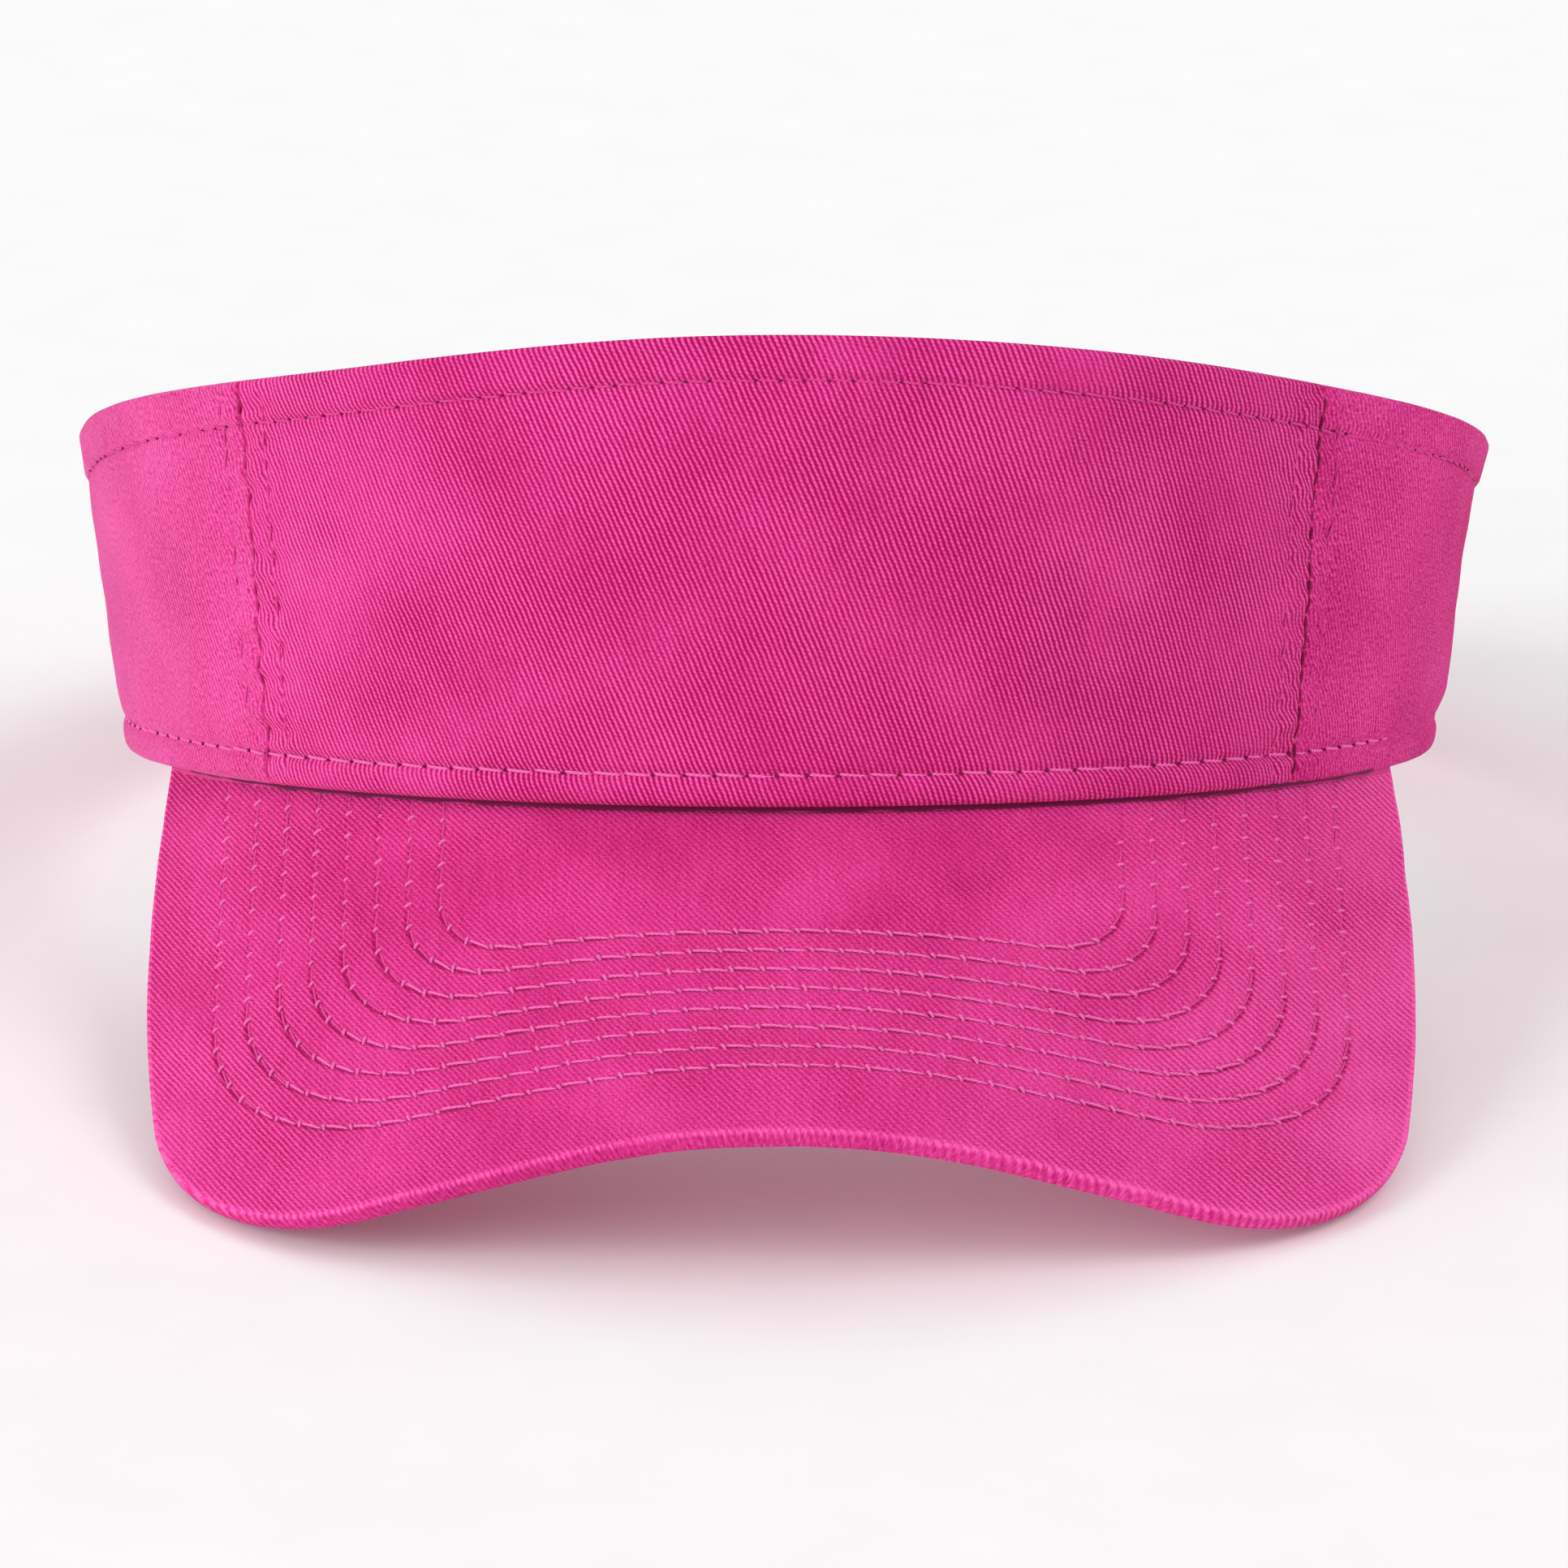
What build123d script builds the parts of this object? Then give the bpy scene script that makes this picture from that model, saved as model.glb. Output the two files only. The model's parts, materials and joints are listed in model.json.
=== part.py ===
from build123d import *
from math import cos, degrees, hypot, radians, sin, sqrt, tan
import os

# Sun visor: an open-topped cotton-twill band with a curved, stitched brim in front and a
# touch-fastener strap at the back. It stands on a table on the two corners of its brim and
# on the ends of its side panels. Millimetres, +Z up, the brim points to -Y and the
# wearer's left is +X. The origin is the middle of the bounding box, at table height.

# ---- how the band stands ----
band_tilt = 15.225          # the band's own plane rises this much towards the front
band_centre = (0, 26.13, 22.06)  # centre of the band's lower edge

# ---- band ----
band_radius = 97.0          # outside, at the lower edge
flare = 7.64                # the band's wall leans outwards by this many degrees
side_height = 43.0          # height of the band at the ears
top_slope = 0.19            # fall of the top edge from front to back
front_rise_start = -50.0    # in front of this the top edge curves up more
front_height = 65.6
panel_thickness = 1.0
seam_angle = 47.2           # the seams between the front panel and the side panels
panel_end = 150.0           # the side panels end here, measured from the front
seam_gap = 0.05             # angle left between neighbouring panels

hem_low = 10.0              # the hem's pieces are cut from the wall above this height
over_top = 2.0              # the wall is built this much too high, then cut along the top edge
trim_reach = 116.4          # the cut along the top edge reaches this far behind the centre
trim_half_width = 126.1
trim_low = -2.0

# ---- inside of the band ----
interlining_thickness = 0.8
interlining_side_gap = 1.0  # angle left between the interlining and the seam tapes
interlining_top_gap = 1.5
facing_end = 124.0
facing_drop = 0.4           # the facing's upper edge below the top edge
facing_depth = 6.5          # the facing's lower edge below the top edge
facing_thickness = 0.6
tape_thickness = 0.5
tape_gap = 0.5              # height left between the tapes
seam_tape_angle = 2.7       # half the width of a seam tape
root_tape_height = 8.5
root_tape_end = 64.0
sweatband_low = 1.5
sweatband_high = 29.0
sweatband_end = 120.0
sweatband_outer = 2.0       # depth of the sweatband's faces below the band's outer face
sweatband_inner = 4.4
sweatband_cloth = 0.5
cut_over = 0.1              # cuts run this much past the faces they open
label_start = 100.0         # measured from the front, like the band's other angles
label_end = 108.0
label_low = 5.0
label_high = 25.0
label_thickness = 0.4

# ---- back closure, angles measured from the front ----
strap_low = 4.5
strap_high = 22.5
strap_start = 152.0
strap_end = 185.0
strap_root_start = 124.0
strap_root_end = 151.2
strap_outer = 1.3           # depth of the outer strap's faces below the band's outer face
strap_inner = 2.9
strap_corner = 5.0          # radius of the outer strap's free corners
strap_tip_edge = 2.0        # edges shorter than this run through the strap's thickness
tape_margin = 1.0           # height left beside the hook and loop tapes
hook_start_gap = 1.0        # angles left at the ends of the tapes
hook_end_gap = 2.0
loop_gap = 2.0
box_margin = 1.5            # the box of stitches on the strap, inside its edges
box_start_gap = 2.5
box_end_gap = 3.5
loop_inner = 3.6
hook_outer = 3.9
hook_inner = 4.6
inner_strap_depth = 6.2
inner_strap_start = 163.0
joggle_start = 210.0        # here the inner strap steps out to the right panel
joggle_end = 220.0
inner_strap_end = 230.0

# ---- brim ----
brim_pitch = 39.0           # the brim falls this much below the band's plane
brim_length = 64.25
brim_half_width = 88.2
brim_thickness = 3.0
root_radius = 95.6          # the brim's inner edge follows this circle
root_drop = 0.4
corner_radius = 38.35
front_radius = 512.0
arch_radius = 73.8          # arch across the middle of the brim's outer edge
arch_half_width = 29.0
wing_radius = 500.0         # flatter arch on each side of it
board_inset = 2.0
board_low = 0.8
board_high = 2.2
cover_lap = 0.2             # the covers' hollows are cut this much past their joint
corner_slices = (90, 80, 68, 54, 38, 20)  # places of the brim's slices round its corners
middle_slices = (42, 28, 14)              # and across its middle
stitch_rows = 8
row_side = 9.6              # the outer row's distance from the brim's sides
row_front = 13.2            # and from its front
row_side_gap = 4.5          # distance between rows, at the sides and at the front
row_front_gap = 3.83
row_radius = 28.0           # the outer row's corners
row_radius_step = 2.4
row_end = 12.0              # the rows end under the band, this far behind its front

# ---- stitching ----
thread = 0.5
thread_height = 0.3
hem_stitch_depth = 6.2
edge_stitch_height = 4.0
seam_stitch_angle = 2.0
seam_stitch_gap = 1.0       # the seams' rows stop this far from the hem's and the edge's rows

band = Plane(
    origin=band_centre,
    x_dir=(1, 0, 0),
    z_dir=(0, sin(radians(band_tilt)), cos(radians(band_tilt))),
)
band_axis = Axis(band.origin, band.z_dir)
slope = tan(radians(flare))


def radial_plane(angle):
    """The plane through the band's axis at an angle from the front: x outwards, y up."""
    outwards = band.x_dir * sin(radians(angle)) - band.y_dir * cos(radians(angle))
    return Plane(origin=band.origin, x_dir=outwards, z_dir=outwards.cross(band.z_dir))


def wall_section(angle, outer, inner, low, high):
    """A slice of the band's wall between two depths below its outer face."""
    corners = [
        (band_radius + low * slope - inner, low),
        (band_radius + low * slope - outer, low),
        (band_radius + high * slope - outer, high),
        (band_radius + high * slope - inner, high),
    ]
    with BuildSketch(radial_plane(angle)) as section:
        with BuildLine():
            Polyline(*corners, close=True)
        make_face()
    return section.sketch


def wall(start, end, outer, inner, low, high, mode=Mode.ADD):
    """A piece of the conical wall from one angle to another."""
    section = wall_section(start, outer, inner, low, high)
    revolve(section, axis=band_axis, revolution_arc=end - start, mode=mode)


def top_height(y):
    """Height of the top edge over the band's plane, y measured along the band."""
    return side_height - top_slope * y


def trim_under_top(drop, depth=None):
    """Keep what lies under the top edge lowered by drop, and above it lowered by depth."""
    back = trim_reach
    front = -(band_radius + front_height * slope)
    bend = front_rise_start
    low = trim_low if depth is None else top_height(back) - depth
    with BuildSketch(Plane(origin=band.origin, x_dir=band.y_dir, z_dir=band.x_dir)) as region:
        with BuildLine():
            Line((back, top_height(back) - drop), (bend, top_height(bend) - drop))
            TangentArc(
                (bend, top_height(bend) - drop),
                (front, front_height - drop),
                tangent=(-1, top_slope),
            )
            if depth is None:
                Polyline((front, front_height - drop), (front, low), (back, low))
            else:
                Line((front, front_height - drop), (front, front_height - depth))
                TangentArc(
                    (bend, top_height(bend) - depth),
                    (front, front_height - depth),
                    tangent=(-1, top_slope),
                )
                Line((bend, top_height(bend) - depth), (back, low))
            Line((back, low), (back, top_height(back) - drop))
        make_face()
    extrude(region.sketch, amount=trim_half_width, both=True, mode=Mode.INTERSECT)


# ---- band panels ----
with BuildPart() as front_panel:
    panel_side = seam_angle - seam_gap
    wall(-panel_side, panel_side, 0, panel_thickness, 0, front_height + over_top)
    trim_under_top(0)

with BuildPart() as left_side_panel:
    wall(seam_angle, panel_end, 0, panel_thickness, 0, front_height)
    trim_under_top(0)

with BuildPart() as right_side_panel:
    wall(-panel_end, -seam_angle, 0, panel_thickness, 0, front_height)
    trim_under_top(0)

with BuildPart() as front_interlining:
    interlining_side = seam_angle - seam_tape_angle - interlining_side_gap
    wall(
        -interlining_side,
        interlining_side,
        panel_thickness,
        panel_thickness + interlining_thickness,
        root_tape_height + tape_gap,
        front_height,
    )
    trim_under_top(facing_depth + interlining_top_gap)

with BuildPart() as top_facing:
    wall(
        -facing_end,
        facing_end,
        panel_thickness,
        panel_thickness + facing_thickness,
        hem_low,
        front_height + over_top,
    )
    trim_under_top(facing_drop, facing_depth)


def seam_tape(angle):
    """The binding over one seam, inside the band."""
    wall(
        angle - seam_tape_angle,
        angle + seam_tape_angle,
        panel_thickness,
        panel_thickness + tape_thickness,
        root_tape_height + tape_gap,
        front_height,
    )
    trim_under_top(facing_depth + tape_gap)


with BuildPart() as seam_tape_left:
    seam_tape(seam_angle)

with BuildPart() as seam_tape_right:
    seam_tape(-seam_angle)

# ---- sweatband: a C of cloth, open to the panels, around a felt strip ----
with BuildPart() as sweatband_cover:
    wall(
        -sweatband_end,
        sweatband_end,
        sweatband_outer,
        sweatband_inner,
        sweatband_low,
        sweatband_high,
    )
    wall(
        -sweatband_end,
        sweatband_end,
        sweatband_outer - cut_over,
        sweatband_inner - sweatband_cloth,
        sweatband_low + sweatband_cloth,
        sweatband_high - sweatband_cloth,
        mode=Mode.SUBTRACT,
    )

with BuildPart() as sweatband_core:
    wall(
        -sweatband_end,
        sweatband_end,
        sweatband_outer,
        sweatband_inner - sweatband_cloth,
        sweatband_low + sweatband_cloth,
        sweatband_high - sweatband_cloth,
    )

with BuildPart() as care_label:
    wall(
        label_start,
        label_end,
        sweatband_inner,
        sweatband_inner + label_thickness,
        label_low,
        label_high,
    )

# ---- brim: straight across each slice from the band's edge to the outer edge ----
pitch = radians(brim_pitch)
forwards = -band.y_dir * cos(pitch) - band.z_dir * sin(pitch)
upwards = -band.y_dir * sin(pitch) + band.z_dir * cos(pitch)
brim_origin = band.origin - band.y_dir * band_radius
corner_x = brim_half_width - corner_radius
front_centre = brim_length - front_radius
corner_v = front_centre + sqrt((front_radius - corner_radius) ** 2 - corner_x**2)
tangent_x = front_radius * corner_x / (front_radius - corner_radius)


def arch_drop(x):
    """How far the outer edge lies below the brim's middle line."""
    lean = arch_half_width / arch_radius
    middle = min(abs(x), arch_half_width)
    drop = arch_radius - sqrt(arch_radius**2 - middle**2)
    out = abs(x) - middle
    if out > 0:
        centre = out + wing_radius * lean
        rise = sqrt(1 - lean**2)
        drop += wing_radius * rise - sqrt(wing_radius**2 - centre**2)
    return drop


def edge_reach(x, inset):
    """Distance of the outer edge from the band, along the brim, at a place across it."""
    if abs(x) <= tangent_x - inset * corner_x / (front_radius - corner_radius):
        return front_centre + sqrt((front_radius - inset) ** 2 - x**2)
    return corner_v + sqrt(max((corner_radius - inset) ** 2 - (abs(x) - corner_x) ** 2, 0))


def brim_slice(x, low, high, inset):
    """One slice of the brim, between two heights over its underside."""
    y = -sqrt(root_radius**2 - x**2)
    root = band.origin + band.x_dir * x + band.y_dir * y - band.z_dir * root_drop
    edge = brim_origin + band.x_dir * x + forwards * edge_reach(x, 0)
    lean = arch_drop(abs(x) + 0.5) - arch_drop(abs(x) - 0.5)
    grow = hypot(lean, 1)
    start = root - upwards * brim_thickness * grow
    along = edge - upwards * arch_drop(x) - start
    stop = along.length - edge_reach(x, 0) + edge_reach(x, inset)
    with BuildSketch(Plane(origin=start, x_dir=along, z_dir=along.cross(upwards))) as section:
        with BuildLine():
            Polyline(
                (inset, low * grow),
                (stop, low * grow),
                (stop, high * grow),
                (inset, high * grow),
                close=True,
            )
        make_face()
    return section.sketch


def brim_body(low, high, inset=0.0, mode=Mode.ADD):
    """A layer of the brim, lofted across its slices."""
    half = [corner_x + (corner_radius - inset) * sin(radians(turn)) for turn in corner_slices]
    half += middle_slices
    places = [-x for x in half] + [0] + half[::-1]
    loft([brim_slice(x, low, high, inset) for x in places], ruled=True, mode=mode)


middle_height = (board_low + board_high) / 2

with BuildPart() as brim_bottom_cover:
    brim_body(0, middle_height)
    brim_body(board_low, middle_height + cover_lap, board_inset, Mode.SUBTRACT)

with BuildPart() as brim_board:
    brim_body(board_low, board_high, board_inset)

with BuildPart() as brim_top_cover:
    brim_body(middle_height, brim_thickness)
    brim_body(middle_height - cover_lap, board_high, board_inset, Mode.SUBTRACT)

with BuildPart() as brim_root_tape:
    wall(
        -root_tape_end,
        root_tape_end,
        panel_thickness,
        panel_thickness + tape_thickness,
        0,
        root_tape_height,
    )


# ---- stitching ----
def stitch_row(inset_side, inset_front, radius):
    """One U of thread across the brim, seen square on to it."""
    x = brim_half_width - inset_side
    reach = brim_length - inset_front
    bow = front_radius - sqrt(front_radius**2 - (x - radius) ** 2)
    with BuildSketch(Plane(origin=brim_origin, x_dir=(1, 0, 0), z_dir=upwards)) as row:
        with BuildLine() as path:
            FilletPolyline(
                (-x, row_end),
                (-x, bow - reach),
                (0, -reach),
                (x, bow - reach),
                (x, row_end),
                radius=(radius, front_radius, radius),
            )
        trace(path.line, line_width=thread)
    return row.sketch


with BuildPart() as brim_stitching:
    brim_body(brim_thickness, brim_thickness + thread_height)
    rows = [
        stitch_row(
            row_side + step * row_side_gap,
            row_front + step * row_front_gap,
            row_radius - step * row_radius_step,
        )
        for step in range(stitch_rows)
    ]
    extrude(Sketch(rows), amount=brim_length, both=True, mode=Mode.INTERSECT)

with BuildPart() as top_hem_stitching:
    wall(-panel_end, panel_end, -thread_height, 0, hem_low, front_height + over_top)
    trim_under_top(hem_stitch_depth, hem_stitch_depth + thread)

with BuildPart() as bottom_edge_stitching:
    wall(
        -panel_end,
        panel_end,
        -thread_height,
        0,
        edge_stitch_height,
        edge_stitch_height + thread,
    )


def seam_stitching(angle):
    """Two rows of thread, one on each side of a seam."""
    half = degrees(thread / 2 / band_radius)
    low = edge_stitch_height + seam_stitch_gap
    for row in (angle - seam_stitch_angle, angle + seam_stitch_angle):
        wall(row - half, row + half, -thread_height, 0, low, front_height + over_top)
    trim_under_top(hem_stitch_depth + seam_stitch_gap)


with BuildPart() as seam_stitching_left:
    seam_stitching(seam_angle)

with BuildPart() as seam_stitching_right:
    seam_stitching(-seam_angle)

# ---- back closure ----
with BuildPart() as inner_strap:
    wall(inner_strap_start, joggle_start, hook_inner, inner_strap_depth, strap_low, strap_high)
    lower = wall_section(joggle_start, hook_inner, inner_strap_depth, strap_low, strap_high)
    step = inner_strap_depth - hook_inner
    upper = wall_section(
        joggle_end, panel_thickness, panel_thickness + step, strap_low, strap_high
    )
    loft([lower, upper])
    wall(
        joggle_end,
        inner_strap_end,
        panel_thickness,
        panel_thickness + step,
        strap_low,
        strap_high,
    )

with BuildPart() as hook_tape:
    wall(
        inner_strap_start + hook_start_gap,
        joggle_start - hook_end_gap,
        hook_outer,
        hook_inner,
        strap_low + tape_margin,
        strap_high - tape_margin,
    )

with BuildPart() as outer_strap_root:
    wall(strap_root_start, strap_root_end, strap_outer, strap_inner, strap_low, strap_high)

with BuildPart() as outer_strap:
    wall(strap_start, strap_end, strap_outer, strap_inner, strap_low, strap_high)
    tips = outer_strap.edges().filter_by(lambda edge: edge.length < strap_tip_edge)
    far = tips.sort_by(Axis.X)[:2]
    fillet(far, strap_corner)

with BuildPart() as loop_tape:
    wall(
        inner_strap_start + loop_gap,
        strap_end - loop_gap,
        strap_inner,
        loop_inner,
        strap_low + tape_margin,
        strap_high - tape_margin,
    )

with BuildPart() as strap_stitching:
    box_start = inner_strap_start + box_start_gap
    box_end = strap_end - box_end_gap
    wall(
        box_start,
        box_end,
        strap_outer - thread_height,
        strap_outer,
        strap_low + box_margin,
        strap_high - box_margin,
    )
    thread_angle = degrees(thread / band_radius)
    wall(
        box_start + thread_angle,
        box_end - thread_angle,
        strap_outer - thread_height - cut_over,
        strap_outer + cut_over,
        strap_low + box_margin + thread,
        strap_high - box_margin - thread,
        mode=Mode.SUBTRACT,
    )

pieces = {
    "front_panel": front_panel,
    "left_side_panel": left_side_panel,
    "right_side_panel": right_side_panel,
    "front_interlining": front_interlining,
    "top_facing": top_facing,
    "seam_tape_left": seam_tape_left,
    "seam_tape_right": seam_tape_right,
    "brim_root_tape": brim_root_tape,
    "sweatband_cover": sweatband_cover,
    "sweatband_core": sweatband_core,
    "care_label": care_label,
    "brim_top_cover": brim_top_cover,
    "brim_bottom_cover": brim_bottom_cover,
    "brim_board": brim_board,
    "brim_stitching": brim_stitching,
    "top_hem_stitching": top_hem_stitching,
    "bottom_edge_stitching": bottom_edge_stitching,
    "seam_stitching_left": seam_stitching_left,
    "seam_stitching_right": seam_stitching_right,
    "inner_strap": inner_strap,
    "hook_tape": hook_tape,
    "outer_strap_root": outer_strap_root,
    "outer_strap": outer_strap,
    "loop_tape": loop_tape,
    "strap_stitching": strap_stitching,
}
os.makedirs("parts", exist_ok=True)
for name, piece in pieces.items():
    piece.part.label = name
    export_step(piece.part, f"parts/{name}.step")
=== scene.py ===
"""A pink cotton-twill sun visor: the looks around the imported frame.

Shapes are worked out in millimetres in the band's own frame: the origin is the centre of the
band's lower edge, x points to the wearer's left, y to the back and z up the band's axis.
"""

import json
import math

import bpy
import numpy as np
from mathutils import Matrix, Vector

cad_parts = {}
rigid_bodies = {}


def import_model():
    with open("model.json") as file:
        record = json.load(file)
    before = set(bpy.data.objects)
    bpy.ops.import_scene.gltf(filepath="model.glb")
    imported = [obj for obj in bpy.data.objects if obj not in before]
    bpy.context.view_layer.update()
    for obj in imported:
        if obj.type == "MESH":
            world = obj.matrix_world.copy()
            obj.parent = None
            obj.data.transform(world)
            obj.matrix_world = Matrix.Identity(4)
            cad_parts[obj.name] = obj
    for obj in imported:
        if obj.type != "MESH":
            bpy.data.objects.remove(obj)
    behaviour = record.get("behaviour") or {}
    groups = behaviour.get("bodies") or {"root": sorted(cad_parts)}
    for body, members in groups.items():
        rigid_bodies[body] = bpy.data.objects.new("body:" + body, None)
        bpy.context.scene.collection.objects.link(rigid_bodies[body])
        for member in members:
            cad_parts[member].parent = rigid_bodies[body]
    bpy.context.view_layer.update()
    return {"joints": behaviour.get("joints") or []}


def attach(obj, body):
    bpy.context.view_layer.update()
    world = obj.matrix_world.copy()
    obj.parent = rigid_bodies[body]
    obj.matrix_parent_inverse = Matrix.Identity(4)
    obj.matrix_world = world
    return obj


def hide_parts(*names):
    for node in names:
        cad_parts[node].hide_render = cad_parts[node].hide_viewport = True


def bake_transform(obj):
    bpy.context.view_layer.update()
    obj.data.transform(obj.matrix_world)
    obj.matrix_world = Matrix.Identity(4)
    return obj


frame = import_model()

MM = 0.001
rng = np.random.default_rng(7)

# ---- the band's frame, from the joint that turns about its axis ----
slide = next(joint for joint in frame["joints"] if joint["name"] == "strap_slide")
BAND_CENTRE = np.array(slide["pos_m"])
BAND_UP = np.array(slide["axis"])
BAND_ACROSS = np.array((1.0, 0.0, 0.0))
BAND_BACK = np.cross(BAND_UP, BAND_ACROSS)

# ---- band, as the frame has it ----
BAND_RADIUS = 97.0
FLARE = math.tan(math.radians(7.64))
SIDE_HEIGHT = 43.0
TOP_SLOPE = 0.19
FRONT_RISE_START = -50.0
FRONT_RISE = 0.0008
SEAM_ANGLE = 47.2
PANEL_END = 150.0
PANEL_THICKNESS = 1.0

# ---- brim ----
PITCH = math.radians(39.0)
BRIM_LENGTH = 64.25
BRIM_HALF_WIDTH = 89.6
WIDEST_AT = -10.0
SIDE_RADIUS = 300.0
SIDE_RADIUS_BEHIND = 480.0
CORNER_RADIUS = 35.2
FRONT_RADIUS = 512.0
BRIM_THICKNESS = 3.0
ROOT_RADIUS = 95.6
ROOT_DROP = 0.4
ROOT_HALF_WIDTH = 87.0
ROOT_CORNER = -46.4         # where the outline meets the band, square on to the brim
ROOT_EDGE = 87.2
ROOT_SPREAD = 0.98
COVER_THICKNESS = 0.7
UNDER_THICKNESS = 0.6
LIP_AT = 0.9                # the edge is fullest at this run from the fold
LIP_SWELL = 0.22
ARCH_RADIUS = 73.8
ARCH_HALF_WIDTH = 29.0
WING_RADIUS = 500.0

# ---- stitching ----
HEM_DEPTH = 6.2
EDGE_ROW_HEIGHT = 4.3
SEAM_ROW_OFFSET = 4.3
BRIM_ROWS = 8
ROW_SIDE = 78.6
ROW_SIDE_GAP = 4.5
ROW_FRONT = 51.05
ROW_FRONT_GAP = 3.83
ROW_RADIUS = 31.5
ROW_RADIUS_STEP = 2.64
ROW_BOW = 370.0
ROW_BOW_STEP = 21.0
HEM_STITCH = 3.3            # lengths of a stitch
EDGE_STITCH = 4.3
SEAM_STITCH = 3.4
BRIM_STITCH = 4.15
STRAP_STITCH = 3.2

# ---- relief of the sewn band ----
HEM_RAISE = 0.4             # the folded hem stands out this much
HEM_FLICK_RIGHT = 0.02      # and leans out by this slope at the ears
HEM_FLICK_LEFT = 0.17
ROLL_MIDDLE = 2.0           # height of the middle of the rolled lower edge
ROLL_OUT = 0.5              # how far the roll stands out at the sides
ROLL_OUT_FRONT = 0.45       # and how much more in front
TUCK_RIGHT = 0.5            # the side panels pull in above the ends of the roll
TUCK_LEFT = 1.3
SEAM_RAISE = 0.16           # the seam allowances lift the cloth beside a seam
PUCKER_REACH = 11.0         # the cloth puckers this far from a seam


def to_world(points):
    """Points in the band's frame, in millimetres, as row-frame points in metres."""
    points = np.asarray(points, float) * MM
    axes = np.stack([BAND_ACROSS, BAND_BACK, BAND_UP])
    return points @ axes + BAND_CENTRE


# ---------------------------------------------------------------- smooth noise


def noise(u, v, scale, seed):
    """Smooth random values between about -1 and 1 over a plane, from a few seeded waves."""
    waves = np.random.default_rng(seed)
    total = np.zeros(np.broadcast(u, v).shape)
    for _ in range(14):
        heading = waves.uniform(0, 2 * math.pi)
        length = scale * waves.uniform(0.6, 1.7)
        phase = waves.uniform(0, 2 * math.pi)
        across = u * math.cos(heading) + v * math.sin(heading)
        total += np.sin(2 * math.pi * across / length + phase)
    return total / 5.0


def bump(distance, width):
    """A smooth hump, 1 at no distance and 0 a few widths away."""
    return np.exp(-((distance / width) ** 2))


def smooth_step(value, low, high):
    t = np.clip((value - low) / (high - low), 0, 1)
    return t * t * (3 - 2 * t)


# ---------------------------------------------------------------- mesh building


def spaced(length, step, rim=0.6):
    """Places from 0 to length, evenly spaced, and closer at both ends to round the rims."""
    near = rim * (1 - np.cos(np.linspace(0, math.pi / 2, 7)))
    inner = np.linspace(rim, length - rim, max(int(length / step), 2) + 1)
    return np.concatenate([near[:-1], inner, (length - near[:-1])[::-1]])


def grid_normals(points):
    """Unit normals of a grid of points."""
    along = np.gradient(points, axis=0)
    up = np.gradient(points, axis=1)
    normals = np.cross(along, up)
    size = np.linalg.norm(normals, axis=2, keepdims=True)
    return normals / np.maximum(size, 1e-9)


def rim_factor(distance, radius):
    """Share of the full thickness at a distance from a round rim."""
    t = np.clip(distance / radius, 0, 1)
    return np.sqrt(np.maximum(1 - (1 - t) ** 2, 0))


def make_object(name, points, faces, uvs, material, rows=None):
    """A mesh object from band-frame points in millimetres, with one UV for each vertex."""
    mesh = bpy.data.meshes.new(name)
    mesh.from_pydata(to_world(points).tolist(), [], np.asarray(faces).tolist())
    loops = np.zeros(len(mesh.loops), np.int32)
    mesh.loops.foreach_get("vertex_index", loops)
    second, third = (None, None) if rows is None else (rows[:, :2], rows[:, [2, 1]])
    for layer_name, values in (("weave", uvs), ("rows", second), ("sides", third)):
        if values is not None:
            layer = mesh.uv_layers.new(name=layer_name)
            layer.data.foreach_set("uv", np.asarray(values, np.float32)[loops].ravel())
    mesh.materials.append(material)
    mesh.polygons.foreach_set("use_smooth", np.ones(len(mesh.polygons), bool))
    mesh.validate()
    mesh.update()
    obj = bpy.data.objects.new(name, mesh)
    bpy.context.scene.collection.objects.link(obj)
    return obj


def extra(piece, body="band"):
    """Attach a piece that the CAD doesn't have to a body."""
    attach(piece, body)


def add(piece, node, body="band"):
    """Attach a piece that takes a CAD node's place to a body, and hide the node."""
    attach(piece, body)
    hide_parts(node)


def slab(name, front, back, uv, material, row_at=None):
    """A closed piece between two grids of points whose borders coincide."""
    rows, columns = front.shape[:2]
    count = rows * columns
    index_front = np.arange(count).reshape(rows, columns)
    inside = np.full((rows, columns), -1)
    inside[1:-1, 1:-1] = np.arange((rows - 2) * (columns - 2)).reshape(rows - 2, columns - 2)
    index_back = np.where(inside < 0, index_front, inside + count)
    points = np.concatenate([front.reshape(-1, 3), back[1:-1, 1:-1].reshape(-1, 3)])
    uvs = np.concatenate([uv.reshape(-1, 2), uv[1:-1, 1:-1].reshape(-1, 2)])
    second = None
    if row_at is not None:
        second = np.concatenate([row_at.reshape(-1, 3), row_at[1:-1, 1:-1].reshape(-1, 3)])

    def quads(index, turned):
        corners = [index[:-1, :-1], index[1:, :-1], index[1:, 1:], index[:-1, 1:]]
        if turned:
            corners = corners[::-1]
        return np.stack(corners, axis=-1).reshape(-1, 4)

    faces = np.concatenate([quads(index_front, False), quads(index_back, True)])
    return make_object(name, points, faces, uvs, material, second)


def wall_points(angle, height, out):
    """Points of the band's wall: angle in degrees from the front, out from its outer face."""
    radius = BAND_RADIUS + height * FLARE + out
    leaning = (0.9 - 1.8 * np.clip(height / 62.0, 0, 1)) * bump(np.abs(angle) - SEAM_ANGLE, 14.0)
    turn = np.radians(angle + np.sign(angle) * leaning)
    points = np.stack([radius * np.sin(turn), -radius * np.cos(turn), height + 0 * turn], axis=-1)
    return lean(points)


def lean(points):
    """The top edge of the band on the head is not quite even: it flicks up at the right ear."""
    share = smooth_step(points[..., 2], 15.0, 55.0)
    x = points[..., 0]
    points[..., 2] += share * (1.9 * smooth_step(-x, 55.0, 105.0) - 0.5 * bump(x + 48.0, 26.0))
    return points


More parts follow.
